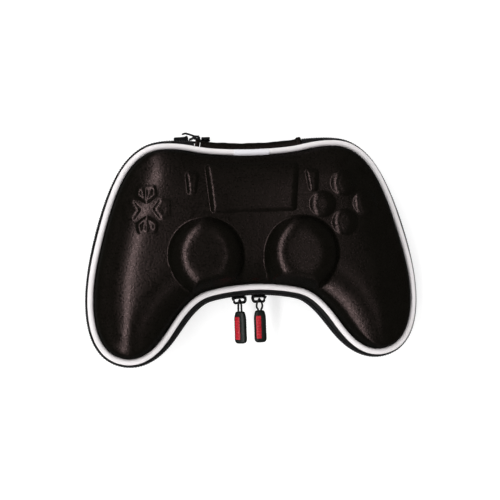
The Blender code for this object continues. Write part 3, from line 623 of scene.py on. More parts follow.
def rubber(name, lo, hi, rough=0.42):
    m = Mat(name, rough=rough, spec=0.3)
    g = m.noise(260, 4, 0.6)
    f = m.noise(3800, 2, 0.6)
    m.link(m.ramp(g, [(0.3, lo), (0.7, hi)]), m.b.inputs["Base Color"])
    m.link(m.math("ADD", m.span(g, rough - 0.06, rough + 0.08), m.span(f, -0.03, 0.03)), m.b.inputs["Roughness"])
    m.bump(f, 0.000016)
    return m.m


def cord_yarn(name):
    m = Mat(name, rough=0.62, spec=0.35)
    f = m.noise(4200, 2, 0.6)
    m.link(m.ramp(f, [(0.3, (0.004, 0.004, 0.004)), (0.75, (0.016, 0.016, 0.017))]), m.b.inputs["Base Color"])
    m.link(m.span(f, 0.5, 0.75), m.b.inputs["Roughness"])
    m.bump(f, 0.00003)
    return m.m


# ================================================================ shell shapes
def clamp01(v):
    return np.clip(v, 0.0, 1.0)


def ease(v):
    v = clamp01(v)
    return v * v * (3 - 2 * v)


def smax(a, b, k):
    """Larger of two heights with the crease rounded smoothly over k."""
    h = clamp01(0.5 + 0.5 * (a - b) / k)
    return b * (1 - h) + a * h + k * h * (1 - h)


def smin(a, b, k):
    return -smax(-a, -b, k)


def edge_curve(t, rise, width, power):
    return rise * (1 - (1 - clamp01(t / width)) ** power)


def ccw(poly):
    p = np.array(poly, float)
    area = 0.5 * np.sum(p[:, 0] * np.roll(p[:, 1], -1) - np.roll(p[:, 0], -1) * p[:, 1])
    return p if area > 0 else p[::-1]


def shrink(poly, w):
    p = ccw(poly)
    out = []
    m = len(p)
    for i in range(m):
        a, b, c = p[i - 1], p[i], p[(i + 1) % m]
        e0 = (b - a) / np.hypot(*(b - a))
        e1 = (c - b) / np.hypot(*(c - b))
        n0 = np.array([-e0[1], e0[0]])
        n1 = np.array([-e1[1], e1[0]])
        out.append(b + (n0 + n1) * w / (1 + np.dot(n0, n1)))
    return np.array(out)


class RoundPoly:
    """Convex polygon with rounded corners: depth inside it, and offset loops."""

    def __init__(self, poly, r):
        self.core = shrink(poly, r)
        self.r = r

    def depth(self, x, y):
        c = self.core
        n = len(c)
        inside = np.full(np.shape(x), 1e9)
        out = np.full(np.shape(x), 1e9)
        for i in range(n):
            a, b = c[i], c[(i + 1) % n]
            e = b - a
            ln = np.hypot(*e)
            u = np.clip(((x - a[0]) * e[0] + (y - a[1]) * e[1]) / ln ** 2, 0, 1)
            out = np.minimum(out, np.hypot(x - a[0] - e[0] * u, y - a[1] - e[1] * u))
            inside = np.minimum(inside, (e[0] * (y - a[1]) - e[1] * (x - a[0])) / ln)
        return np.where(inside > 0, inside, -out) + self.r

    def loop(self, off, step):
        """Closed curve at depth off (negative outside)."""
        rr = self.r - off
        if rr <= 0.05:
            return corner_round(shrink(self.core, -rr), 0.1, step, True)
        c = self.core
        n = len(c)
        pts = []
        for i in range(n):
            a, b, d = c[i - 1], c[i], c[(i + 1) % n]
            e0, e1 = b - a, d - b
            a0 = math.atan2(e0[1], e0[0]) - math.pi / 2
            a1 = math.atan2(e1[1], e1[0]) - math.pi / 2
            while a1 < a0:
                a1 += 2 * math.pi
            for q in np.linspace(a0, a1, max(3, int((a1 - a0) * rr / (step * 0.7)) + 2)):
                pts.append((b[0] + rr * math.cos(q), b[1] + rr * math.sin(q)))
        p = np.array(pts + pts[:1])
        arc = np.r_[0.0, np.cumsum(np.hypot(*np.diff(p, axis=0).T))]
        keep = np.r_[True, np.diff(arc) > 1e-6]
        p, arc = p[keep], arc[keep]
        cnt = int(round(arc[-1] / step))
        w = np.linspace(0, arc[-1], cnt, endpoint=False)
        return np.column_stack([np.interp(w, arc, p[:, 0]), np.interp(w, arc, p[:, 1])])


class Disc:
    def __init__(self, c, r):
        self.c, self.r = c, r

    def depth(self, x, y):
        return self.r - np.hypot(x - self.c[0], y - self.c[1])

    def loop(self, off, step):
        rr = self.r - off
        n = max(8, int(round(2 * math.pi * rr / step)))
        a = 2 * math.pi * np.arange(n) / n
        return np.column_stack([self.c[0] + rr * np.cos(a), self.c[1] + rr * np.sin(a)])


def rise(e, h, w, p, fillet):
    """Moulded relief: steep at the foot, rounded off over the width w."""
    u = e / w
    v = np.where(u < 0, h * p * u, h * (1 - (1 - clamp01(u)) ** p))
    return smax(v, np.zeros_like(v), fillet)


def dpad_arms():
    cx, cy = DPAD_C
    arm = [(-5.6, 14.2), (5.6, 14.2), (6.5, 7.6), (0.0, 2.9), (-6.5, 7.6)]
    return [[(cx + c * x - s * y, cy + s * x + c * y) for x, y in arm]
            for c, s in ((1, 0), (0, 1), (-1, 0), (0, -1))]


# shape, height, width of the rounding, power, loops that the mesh follows
RELIEF = [(RoundPoly(PAD, 2.6), 1.7, 4.0, 2.6, (-0.45, -0.1, 0.25, 0.7, 1.3, 2.1, 3.1, 4.1))]
RELIEF += [(RoundPoly(a, 2.0), 0.75 if k % 2 else 1.15, 3.4, 2.0, (-0.4, -0.05, 0.35, 0.9, 1.5, 2.1, 2.7, 3.3))
           for k, a in enumerate(dpad_arms())]
RELIEF += [(RoundPoly(a, 1.9), 1.05, 2.7, 2.2, (-0.4, -0.05, 0.35, 0.9, 1.6)) for a in PILLS]
RELIEF += [(Disc(c, FACE_R), 1.8, 5.6, 2.1, (-0.4, -0.05, 0.4, 1.0, 1.8, 2.8, 3.8)) for c in FACE]

GSTEP = 0.5
GX = np.arange(-101.0, 101.01, GSTEP)
GY = np.arange(-69.0, 69.01, GSTEP)
GXX, GYY = np.meshgrid(GX, GY)
GT = inset(GXX, GYY)


def blur(a, sigma):
    k = int(round(3 * sigma / GSTEP))
    w = np.exp(-0.5 * (np.arange(-k, k + 1) * GSTEP / sigma) ** 2)
    w /= w.sum()
    p = np.pad(a, ((0, 0), (k, k)), mode="edge")
    a = sum(w[j] * p[:, j:j + a.shape[1]] for j in range(2 * k + 1))
    p = np.pad(a, ((k, k), (0, 0)), mode="edge")
    return sum(w[j] * p[j:j + a.shape[0]] for j in range(2 * k + 1))


def settled(h, sigma, t0, t1):
    """Height field whose inner creases are eased away, its rim left as it is."""
    w = ease((GT - t0) / (t1 - t0))
    return h * (1 - w) + blur(h, sigma) * w


def sampler(field):
    def at(x, y):
        fx = np.clip((x - GX[0]) / GSTEP, 0, len(GX) - 1.001)
        fy = np.clip((y - GY[0]) / GSTEP, 0, len(GY) - 1.001)
        i, j = fx.astype(int), fy.astype(int)
        u, v = fx - i, fy - j
        return (field[j, i] * (1 - u) * (1 - v) + field[j, i + 1] * u * (1 - v)
                + field[j + 1, i] * (1 - u) * v + field[j + 1, i + 1] * u * v)
    return at


def soft_rise(t, x, height, width, off):
    """Long gentle rise behind the steep shoulder, a little lower towards the grips."""
    return edge_curve(t - off, height, width, 2.3) - 2.2 * (x / 95.0) ** 2 * ease(t / 12)


OUT_BASE = sampler(settled(soft_rise(GT, GXX, 8.5, 25.0, 0.25), 3.0, 9.0, 17.0))
IN_BASE = sampler(settled(soft_rise(GT, GXX, 7.7, 22.0, 3.25), 3.0, 11.0, 19.0))


def domes(x, y, foot, top, z_foot, k):
    out = np.full(np.shape(x), -1e3)
    for cx, cy in DOMES:
        r = np.hypot(x - cx, y - cy)
        flank = z_foot + DOME_H * (foot - r) / (foot - top)
        out = np.maximum(out, smin(flank, z_foot + DOME_H + 0.25 * (1 - (r / top) ** 2), k))
    return out


def boots(x, y):
    """Outer skin of the stick domes: a shallow flank that turns steep only near its round foot."""
    out = np.full(np.shape(x), -1e3)
    for cx, cy in DOMES:
        r = np.hypot(x - cx, y - cy)
        u = np.clip((r - 11.0) / (DOME_FOOT - 11.0), -0.5, 1.6)
        flank = 58.2 + DOME_H - 2.5 * u - 5.5 * np.maximum(u, 0.0) ** 4
        out = np.maximum(out, smin(flank, 58.2 + DOME_H + 0.25 * (1 - (r / 11.0) ** 2), 0.4))
    return out


def lid_outer(x, y, t):
    z = 42.0 + edge_curve(t - 0.25, 8.0, 4.2, 2.4) + OUT_BASE(x, y)
    dome = smin(boots(x, y), 42.0 + edge_curve(t - 0.25, 24.6, 9.5, 2.2), 1.2)
    z = smax(z, dome, 0.9)
    for shape, h, w, p, _ in RELIEF:
        z = z + rise(shape.depth(x, y), h, w, p, 0.16)
    # each arm of the pad cross is dished: the upper and lower arms deeply, with a low ridge along their middle, the
    # side arms only slightly
    cx, cy = DPAD_C
    for k, (shape, h, w, p, _) in enumerate(RELIEF[1:5]):
        dish = ease((shape.depth(x, y) - 0.8) / 3.4)
        if k % 2 == 0:
            z = z - (1.05 - 0.5 * np.exp(-((x - cx + 0.3) / 0.75) ** 2)) * dish
        else:
            z = z - 0.2 * dish
    return z


def lid_inner(x, y, t):
    z = 40.8 + edge_curve(t - 3.25, 6.6, 3.6, 2.2) + IN_BASE(x, y)
    dome = smin(domes(x, y, DOME_FOOT - 2.6, DOME_TOP - 1.6, 55.0, 1.2), 40.8 + edge_curve(t - 3.25, 22.0, 9.5, 2.2), 1.2)
    return smax(z, dome, 1.4)


def skin(rings, height, loops, spacing, t_fill, gap):
    """One skin of a shell: rings (t, z or None) that follow the rim, relief loops, and an even fill."""
    n = int(round(LENGTH / gap))
    st = np.arange(n) * LENGTH / n
    px, py, nx, ny, _ = along(st)
    pts, edges, zs = [], [], []
    for t, z in rings:
        k = len(zs)
        d = WALL_IN + t
        pts.append(np.column_stack([px - nx * d, py - ny * d]))
        zs += [np.nan if z is None else z] * n
        edges += [(k + i, k + (i + 1) % n) for i in range(n)]
    pts = [np.vstack(pts)]
    k = len(zs)
    loop_pts = []
    for lp in loops:
        ok = inset(lp[:, 0], lp[:, 1]) > rings[-1][0] + 0.5
        m = len(lp)
        idx = np.full(m, -1)
        idx[ok] = k + np.arange(ok.sum())
        k += int(ok.sum())
        edges += [(int(idx[i]), int(idx[(i + 1) % m])) for i in range(m) if ok[i] and ok[(i + 1) % m]]
        loop_pts.append(lp[ok])
    have = np.vstack(loop_pts) if loop_pts else np.zeros((0, 2))
    rows = []
    yv, row = -66.0, 0
    while yv < 66:
        xs = np.arange(-97, 97, spacing) + (spacing / 2 if row % 2 else 0.0)
        rows.append(np.column_stack([xs, np.full(len(xs), yv)]))
        yv += spacing * 0.866
        row += 1
    g = np.vstack(rows)
    g = g[inset(g[:, 0], g[:, 1]) > t_fill]
    if len(have):
        cell = {}
        for i, (a, b) in enumerate(have):
            cell.setdefault((int(a // 2), int(b // 2)), []).append(i)
        keep = np.ones(len(g), bool)
        for i, (a, b) in enumerate(g):
            ca, cb = int(a // 2), int(b // 2)
            ids = [q for u in (-1, 0, 1) for v in (-1, 0, 1) for q in cell.get((ca + u, cb + v), ())]
            if ids:
                q = have[ids]
                if np.min((q[:, 0] - a) ** 2 + (q[:, 1] - b) ** 2) < (spacing * 0.55) ** 2:
                    keep[i] = False
        g = g[keep]
    allp = np.vstack(pts + [have, g])
    vs, _, tris, ids, _, _ = delaunay_2d_cdt([Vector(q) for q in allp.tolist()], edges, [], 1, 1e-5)
    xy = np.array([(v[0], v[1]) for v in vs])
    t = inset(xy[:, 0], xy[:, 1])
    given = np.full(len(xy), np.nan)
    rim = [None] * n
    nr = len(rings) * n
    for i, src in enumerate(ids):
        for q in src:
            if q < nr:
                t[i] = rings[q // n][0]
                given[i] = zs[q]
                if q < n:
                    rim[q] = i
    z = height(xy[:, 0], xy[:, 1], t)
    z = np.where(np.isnan(given), z, given)
    return np.column_stack([xy, z]), [tuple(f) for f in tris], rim


def shell(name, outer, inner, mats):
    vo, fo, ro = outer
    vi, fi, ri = inner
    k = len(vo)
    m = len(ro)
    faces = list(fo) + [tuple(k + q for q in reversed(f)) for f in fi]
    index = [0] * len(fo) + [1] * len(fi)
    for i in range(m):
        j = (i + 1) % m
        faces.append((ro[i], ro[j], k + ri[j], k + ri[i]))
        index.append(1)
    return emit(name, np.vstack([vo, vi]), faces, mats, index, sharp=50.0)


M_LID = shell_cloth("case_cloth_lid")
M_BASE = shell_cloth("case_cloth_base")
M_LINE = lining_cloth("case_lining")

loops = []
for (cx, cy) in DOMES:
    disc = Disc((cx, cy), DOME_FOOT)
    for off in (-1.0, -0.4, 0.2, 0.8, 1.6, 2.6, 3.8, 9.3, 9.9, 10.4, 10.9, 11.5):
        loops.append(disc.loop(off, 0.9))
for shape, h, w, p, offs in RELIEF:
    for off in offs:
        loops.append(shape.loop(off, 0.75))

lid_rings = [(0.0, 39.2), (0.06, 39.9), (0.12, 40.6), (0.19, 41.3), (0.3, 42.1)]
lid_rings += [(t, None) for t in (0.5, 0.75, 1.05, 1.4, 1.8, 2.3, 2.9, 3.6, 4.4)]
lid_out = skin(lid_rings, lid_outer, loops, 0.9, 5.0, 1.15)
lid_in = skin([(3.0, 39.2), (3.12, 40.0), (3.3, 40.9)] + [(t, None) for t in (3.8, 4.6, 5.8, 7.2)],
              lid_inner, [], 2.2, 8.2, 1.15)
lid = shell("case_lid", lid_out, lid_in, [M_LID, M_LINE])
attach(lid, "lid")
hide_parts("lid_shell")

BASE_OUT = [(0.0, 28.8), (0.6, 22.0), (1.8, 13.5), (3.6, 7.6), (6.4, 3.4), (10.2, 0.9), (14.6, 0.0)]
BASE_IN = [(3.0, 28.8), (3.6, 22.2), (4.8, 14.4), (6.5, 9.4), (9.0, 5.9), (12.2, 3.8), (15.6, 3.0)]


def rounded_table(rows):
    """Ring list for the steep part and a height function for the rest, from one smooth curve."""
    c = spline(rows, 0.35)
    c[:, 1] = np.maximum(c[:, 1], rows[-1][1])
    order = np.argsort(c[:, 0])

    def h(x, y, t):
        return np.interp(t, c[order, 0], c[order, 1])
    steep = [q for q in c[::3] if q[0] < rows[3][0]]
    return [(float(a), float(b)) for a, b in steep], h


ring_o, h_o = rounded_table(BASE_OUT)
ring_i, h_i = rounded_table(BASE_IN)
base = shell("case_base", skin(ring_o, h_o, [], 1.9, ring_o[-1][0] + 0.9, 1.5),
             skin(ring_i, h_i, [], 2.2, ring_i[-1][0] + 0.9, 1.5), [M_BASE, M_LINE])
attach(base, "base")
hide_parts("base_shell")

# ================================================================ piping
S_SPL_R = arc_of_x(12.4)
S_SPL_L = arc_of_x(-9.8)


def ring_section(z, r, sides, dd=0.0, wrinkle=0.0, seed=0.0):
    a = 2 * math.pi * np.arange(sides) / sides

    def f(b, s):
        rr = np.full((len(s), sides), r)
        if wrinkle:
            w = (np.sin(s * 1.7 + seed) + np.sin(s * 2.9 + 1.3 * seed) + np.sin(s * 0.61 + 2.1 * seed)) / 3
            w = w[:, None] * np.cos(a[None, :] * 2 + s[:, None] * 0.21)
            rr = rr + wrinkle * w
        return dd + rr * np.cos(a)[None, :], z + rr * np.sin(a)[None, :]
    return f


M_PIPE = piping_cloth("piping_white_cloth")
M_PIPEB = piping_cloth("piping_white_cloth_base")
M_SPL = piping_cloth("piping_splice_cloth", (0.86, 0.845, 0.885))
st = np.linspace(S_SPL_R - 0.6, S_SPL_L + 0.6, int((S_SPL_L - S_SPL_R) / 0.9))
v, f = sweep(ring_section(Z_LID_PIPE + 0.35, PIPE_R + 0.12, 22, -0.05, 0.035, 0.4), st)
pipe = emit("piping_lid", v, f, [M_PIPE])
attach(pipe, "lid")
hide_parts("lid_piping")
pipe.visible_glossy = False
n = int(LENGTH / 0.9)
v, f = sweep(ring_section(Z_BASE_PIPE, PIPE_R, 22, 0.0, 0.0), np.arange(n) * LENGTH / n, closed=True)
pipeb = emit("piping_base", v, f, [M_PIPEB])
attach(pipeb, "base")
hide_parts("base_piping")


def splice_section(b, s):
    """Sleeve of doubled cloth over the meeting ends, thicker towards the lid."""
    a = 2 * math.pi * np.arange(26) / 26
    mid = (LENGTH + S_SPL_R + S_SPL_L - LENGTH) / 2
    half = (LENGTH + S_SPL_R - S_SPL_L) / 2
    q = np.abs(s - (LENGTH + (S_SPL_R - (LENGTH - S_SPL_L)) / 2)) / half
    k = ease((1.0 - q) / 0.10)[:, None]
    r = 1.6 + (2.15 - 1.6) * k + 0.03 * np.sin(s * 2.3)[:, None] * k
    return -0.38 * k + r * np.cos(a)[None, :], Z_LID_PIPE + 0.2 + 0.35 * k + r * np.sin(a)[None, :]


st = np.linspace(S_SPL_L, LENGTH + S_SPL_R, 60)
v, f = sweep(splice_section, st)
spl = emit("piping_splice_sleeve", v, f, [M_SPL])
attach(spl, "lid")
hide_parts("piping_splice")
spl.visible_glossy = False

# ================================================================ zip
S_ZIP0 = arc_of_x(HINGE_X + 3.6)
S_ZIP1 = LENGTH - S_ZIP0


def band_rows(d, z, thick):
    """Closed section arrays of a thin band along n x m path arrays."""
    td, tz = np.gradient(d, axis=1), np.gradient(z, axis=1)
    ln = np.hypot(td, tz)
    td, tz = td / ln, tz / ln
    h = thick / 2
    return (np.concatenate([d - tz * h, (d + tz * h)[:, ::-1]], 1),
            np.concatenate([z + td * h, (z - td * h)[:, ::-1]], 1))


def tape_section(up):
    def f(b, s):
        rows = []
        for bb in b:
            path = [(-4.2, 4.25), (bb - 3.3, 4.25), (bb - 2.4, 3.3), (bb - 2.4, 0.4)]
            p = corner_round(path, 0.8, 0.1)
            k = np.linspace(0, len(p) - 1, 22)
            rows.append(np.column_stack([np.interp(k, np.arange(len(p)), p[:, 0]), np.interp(k, np.arange(len(p)), p[:, 1])]))
        p = np.array(rows)
        d, h = band_rows(p[:, :, 0], p[:, :, 1], 0.55)
        return d, Z_SPLIT + up * h
    return f


M_TAPE = tape_cloth("zip_tape_weave_lid")
M_TAPEB = tape_cloth("zip_tape_weave_base")
M_THREAD = tape_cloth("sewing_thread", 1.8, 0.0004)
for up, name, body, node, mat in ((1, "zip_tape_upper", "lid", "zip_tape_lid", M_TAPE),
                                  (-1, "zip_tape_lower", "base", "zip_tape_base", M_TAPEB)):
    st = np.linspace(S_ZIP0, S_ZIP1, int((S_ZIP1 - S_ZIP0) / 1.6))
    tv, tf = sweep(tape_section(up), st)
    # seam seen from inside: stitches along the inner edge of the tape
    sp = np.arange(S_ZIP0 + 2, S_ZIP1 - 2, 2.8)
    px, py, nx, ny, b = along(sp)
    pos = np.column_stack([px - nx * 3.1, py - ny * 3.1, np.full(len(sp), Z_SPLIT + up * (4.25 - 0.275))])
    tang = np.column_stack([ny, -nx, np.zeros(len(sp))])
    nrm = np.column_stack([np.zeros(len(sp)), np.zeros(len(sp)), np.full(len(sp), -float(up))])
    sv, sf = stitches(pos, tang, nrm, 2.2, 0.2)
    v, f = merge([(tv, tf), (sv, sf)])
    ob = emit(name, v, f, [mat, M_THREAD], [0] * len(tf) + [1] * len(sf))
    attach(ob, body)
    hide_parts(node)

PITCH, WIRE = 1.4, 0.33
M_CORE = tape_cloth("zip_filler_cord", 0.8, 0.0006)
M_COIL = coil_nylon("zip_coil_nylon_lid")
M_COILB = coil_nylon("zip_coil_nylon_base")


def coil(up, phase):
    per = 14
    turns = int((S_ZIP1 - S_ZIP0 - 1.0) / PITCH)
    q = np.arange(turns * per + 1)
    phi = 2 * math.pi * q / per
    s = S_ZIP0 + 0.5 + PITCH * (q / per + phase)
    px, py, nx, ny, b = along(s)
    c, sn = np.cos(phi), np.sin(phi)
    cd = np.sign(c) * np.abs(c) ** 0.75
    sd = np.sign(sn) * np.abs(sn) ** 0.85
    d = (b - 0.9) + 0.57 * cd
    h = 1.1 + 1.22 * sd
    p = np.column_stack([px + nx * d, py + ny * d, Z_SPLIT + up * h])
    t = np.gradient(p, axis=0)
    t /= np.linalg.norm(t, axis=1)[:, None]
    r = np.column_stack([nx * c, ny * c, up * sn])
    r -= t * (r * t).sum(1)[:, None]
    r /= np.linalg.norm(r, axis=1)[:, None]
    w = np.cross(t, r)
    sides = 7
    a = 2 * math.pi * np.arange(sides) / sides
    v = (p[:, None, :] + WIRE * (np.cos(a)[None, :, None] * r[:, None, :] + np.sin(a)[None, :, None] * w[:, None, :]))
    n = len(p)
    f = grid_faces(n, sides, False, True)
    f.append(tuple(range(sides)))
    f.append(tuple((n - 1) * sides + k for k in reversed(range(sides))))
    return v.reshape(-1, 3), f


def core_section(up):
    """Filler cord that the coil is wound and sewn on."""
    a = 2 * math.pi * np.arange(14) / 14
    c, sn = np.cos(a), np.sin(a)
    cd, sd = 0.93 * np.sign(c) * np.abs(c) ** 0.8, 1.0 * np.sign(sn) * np.abs(sn) ** 0.8

    def f(b, s):
        return (b - 1.24)[:, None] + cd[None, :], Z_SPLIT + up * (1.30 + np.repeat(sd[None, :], len(s), 0))
    return f


for up, phase, name, body, node, mat in ((1, 0.0, "zip_coil_upper", "lid", "zip_coil_lid", M_COIL),
                                         (-1, 0.5, "zip_coil_lower", "base", "zip_coil_base", M_COILB)):
    v1, f1 = coil(up, phase)
    st = np.linspace(S_ZIP0 + 0.3, S_ZIP1 - 0.3, int((S_ZIP1 - S_ZIP0) / 1.5))
    v2, f2 = sweep(core_section(up), st)
    v, f = merge([(v1, f1), (v2, f2)])
    ob = emit(name, v, f, [mat, M_CORE], [0] * len(f1) + [1] * len(f2), sharp=None)
    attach(ob, body)
    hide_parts(node)

# ================================================================ cloth hinge
M_HINGE = shell_cloth("hinge_spine_cloth")
M_HLINE = lining_cloth("hinge_lining_cloth")
S_H = arc_of_x(HINGE_X)
HS = np.linspace(LENGTH - S_H, LENGTH + S_H, 61)
HP = corner_round([(-3.6, 4.25), (4.6, 4.25), (6.0, 2.9), (6.2, 0.0), (6.0, -2.9), (4.6, -4.25), (-3.6, -4.25)], 1.1, 0.33)
LP = corner_round([(-5.9, -8.0), (-5.9, -4.6), (-4.7, -3.0), (4.1, -3.0), (5.25, -1.8), (5.52, 0.0), (5.25, 1.8), (4.1, 3.0),
                   (-4.7, 3.0)], 1.1, 0.36)


def fixed_band(path, thick, ripple=0.0):
    def f(b, s):
        d = np.repeat(path[None, :, 0], len(s), 0)
        z = np.repeat(Z_SPLIT + path[None, :, 1], len(s), 0)
        if ripple:
            u = (s - s.mean())[:, None]
            k = ease((6.2 - np.abs(path[None, :, 1] - 0.0)) / 3.0) * ease((path[None, :, 0] - 2.5) / 3.0)
            d = d + ripple * k * (np.sin(u * 0.37 + 0.6) + 0.6 * np.sin(u * 0.83 + 2.0))
        return band_rows(d, z, thick)
    return f


v, f = sweep(fixed_band(HP, 0.55, 0.10), HS)
hinge = emit("hinge_spine", v, f, [M_HINGE])
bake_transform(hinge)
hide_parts("hinge_band")

v, f = sweep(fixed_band(LP, 0.5), HS)
hline = emit("hinge_lining_strip", v, f, [M_HLINE])
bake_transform(hline)
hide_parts("hinge_lining")

# folded cloth ends over the ends of the zip
M_END = {"left": shell_cloth("zip_end_cloth_left"), "right": shell_cloth("zip_end_cloth_right")}
for side, sgn in (("left", -1), ("right", 1)):
    a, b_ = arc_of_x(HINGE_X + 0.35), arc_of_x(HINGE_X + 3.25)
    s0, s1 = (a, b_) if sgn > 0 else (LENGTH - b_, LENGTH - a)
    prof = corner_round([(0.8, -3.4), (5.6, -3.7), (7.1, -2.2), (7.3, 0.0), (7.1, 2.2), (5.6, 3.7), (0.8, 3.4)], 1.4, 0.32, True)
    c = prof.mean(0)

    def end_section(b, s, prof=prof, c=c, s0=s0, s1=s1):
        q = np.abs((s - (s0 + s1) / 2) / ((s1 - s0) / 2))
        k = np.sqrt(np.clip(1 - (q * 0.92) ** 4, 0.04, 1))[:, None]
        k = 0.80 + 0.20 * k
        fold = 1.0 + 0.018 * np.sin(s * 5.2)[:, None]
        return c[0] + (prof[None, :, 0] - c[0]) * k * fold, Z_SPLIT + (prof[None, :, 1]) * k
    st = np.linspace(s0, s1, 14)
    v1, f1 = sweep(end_section, st)
    # two bar-tack stitches across the folded end
    sm = np.linspace(s0 + 0.8, s1 - 0.8, 2)
    px, py, nx, ny, b = along(np.repeat(sm, 4))
    hz = np.tile([-2.4, -0.8, 0.8, 2.4], 2)
    kk = np.interp(hz, [-3.7, -2.2, 0, 2.2, 3.7], [5.6, 7.1, 7.3, 7.1, 5.6])
    pos = np.column_stack([px + nx * (kk - 0.02), py + ny * (kk - 0.02), Z_SPLIT + hz])
    tang = np.tile([0.0, 0.0, 1.0], (len(pos), 1))
    nrm = np.column_stack([nx, ny, np.zeros(len(pos))])
    v2, f2 = stitches(pos, tang, nrm, 1.4, 0.16, 0.06)
    v, f = merge([(v1, f1), (v2, f2)])
    ob = emit("zip_end_fold_" + side, v, f, [M_END[side], M_THREAD], [0] * len(f1) + [1] * len(f2))
    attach(ob, "base")
    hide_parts("zip_end_" + side)

# ================================================================ sliders
R_COIL = ARC_R - 5.3
PLATE_IN, PLATE_OUT = R_COIL - 0.28, R_COIL - 1.30
ROD_R = ARC_R - 9.1
CROWN_DIR = {"left": 1, "right": -1}
SL_X = {"left": -8.8, "right": 3.4}


def polar(r, u):
    a = math.pi / 2 - u / (ARC_R - 6.0)
    return r * math.cos(a), ARC_Y + r * math.sin(a)


def rounded_rect(x0, x1, y0, y1, r, step=0.35):
    return corner_round([(x0, y0), (x1, y0), (x1, y1), (x0, y1)], r, step, True)


for side in ("left", "right"):
    c0, k = SL_X[side], CROWN_DIR[side]

    def on_arc(u, z, r, c0=c0):
        x, y = polar(r, c0 + u)
        return (x, y, z)
    parts = []
    # plate over the coils, waisted like a cast slider
    outl = corner_round([(-4.5, 31.2), (-3.9, 30.35), (3.9, 30.35), (4.5, 31.2), (4.1, 34.0), (4.5, 36.7), (3.9, 37.5),
                         (-3.9, 37.5), (-4.5, 36.7), (-4.1, 34.0)], 0.7, 0.4, True)
    parts.append(prism(outl, PLATE_OUT, PLATE_IN, on_arc))
    lip = rounded_rect(-4.1, 4.1, PLATE_OUT + 0.12, R_COIL + 1.3, 0.6)
    parts.append(prism(lip, 30.1, 31.0, lambda u, r, z, f=on_arc: f(u, z, r)))
    # open crown, a round bar with its free end turned in
    path = [(k * 3.7, PLATE_OUT + 0.35), (k * 3.75, ROD_R + 1.2), (k * 3.1, ROD_R + 0.15), (k * 1.6, ROD_R),
            (-k * 1.6, ROD_R), (-k * 2.85, ROD_R + 0.15), (-k * 3.3, ROD_R + 1.0)]
    path = spline([on_arc(u, 34.0, r) for u, r in path], 0.2)
    q = np.linspace(0, 1, len(path))
    rad = 0.88 - 0.12 * ease((q - 0.35) / 0.4)
    parts.append(tube(path, rad, 18, up=(0, 0, 1)))
    collar = rounded_rect(k * 3.7 - 1.15, k * 3.7 + 0.85, 32.9, 35.1, 0.5)
    parts.append(prism(collar, PLATE_OUT - 0.55, PLATE_OUT + 0.3, on_arc))
    lug = rounded_rect(-k * 3.55 - 0.85, -k * 3.55 + 0.85, 33.0, 35.0, 0.45)
    parts.append(prism(lug, PLATE_OUT - 0.75, PLATE_OUT + 0.3, on_arc))
    v, f = fuse(parts, 0.13, 5)
    mat = painted_metal("slider_black_metal_" + side, worn=(0.30, 0.30, 0.31), wear=0.535)
    ob = emit("zip_slider_" + side, v, f, [mat], sharp=None)
    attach(ob, "slider_" + side)
    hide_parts("slider_" + side)

# ================================================================ pulls
TAB_LEN, TAB_W, TAB_T = 19.4, 7.4, 4.0
TWIST = {"left": -24.0, "right": 12.0}
M_RUB = {"left": rubber("tab_rubber_left", (0.0045, 0.0065, 0.005), (0.009, 0.012, 0.010)),
         "right": rubber("tab_rubber_right", (0.0045, 0.0065, 0.005), (0.009, 0.012, 0.010))}
M_RED = {"left": rubber("insert_red_left", (0.42, 0.012, 0.022), (0.56, 0.018, 0.032), 0.36),
         "right": rubber("insert_red_right", (0.42, 0.012, 0.022), (0.56, 0.018, 0.032), 0.36)}


def tab_shape(v):
    """Half width and half thickness of the tab at distance v from its top end."""
    w = TAB_W / 2 * (0.80 + 0.20 * ease(v / 5.0))
    top = np.sqrt(np.clip(1 - (1 - clamp01(v / 1.5)) ** 2.2, 0, 1))
    bot = np.sqrt(np.clip(1 - (1 - clamp01((TAB_LEN - v) / 2.6)) ** 2.4, 0, 1))
    th = TAB_T / 2 * (0.86 + 0.14 * ease(v / 4.0))
    return w * (0.55 + 0.45 * top) * (0.45 + 0.55 * bot), th * (0.45 + 0.55 * top) * (0.45 + 0.55 * bot)


def tab_point(u, v, lift=0.0):
    """Point on the upper face: u across (-1..1), v down its length."""
    a, t = tab_shape(v)
    x = a * u
    z = t * (1 - np.abs(u) ** 3.2) ** (1 / 3.2)
    return x, -v, z + lift


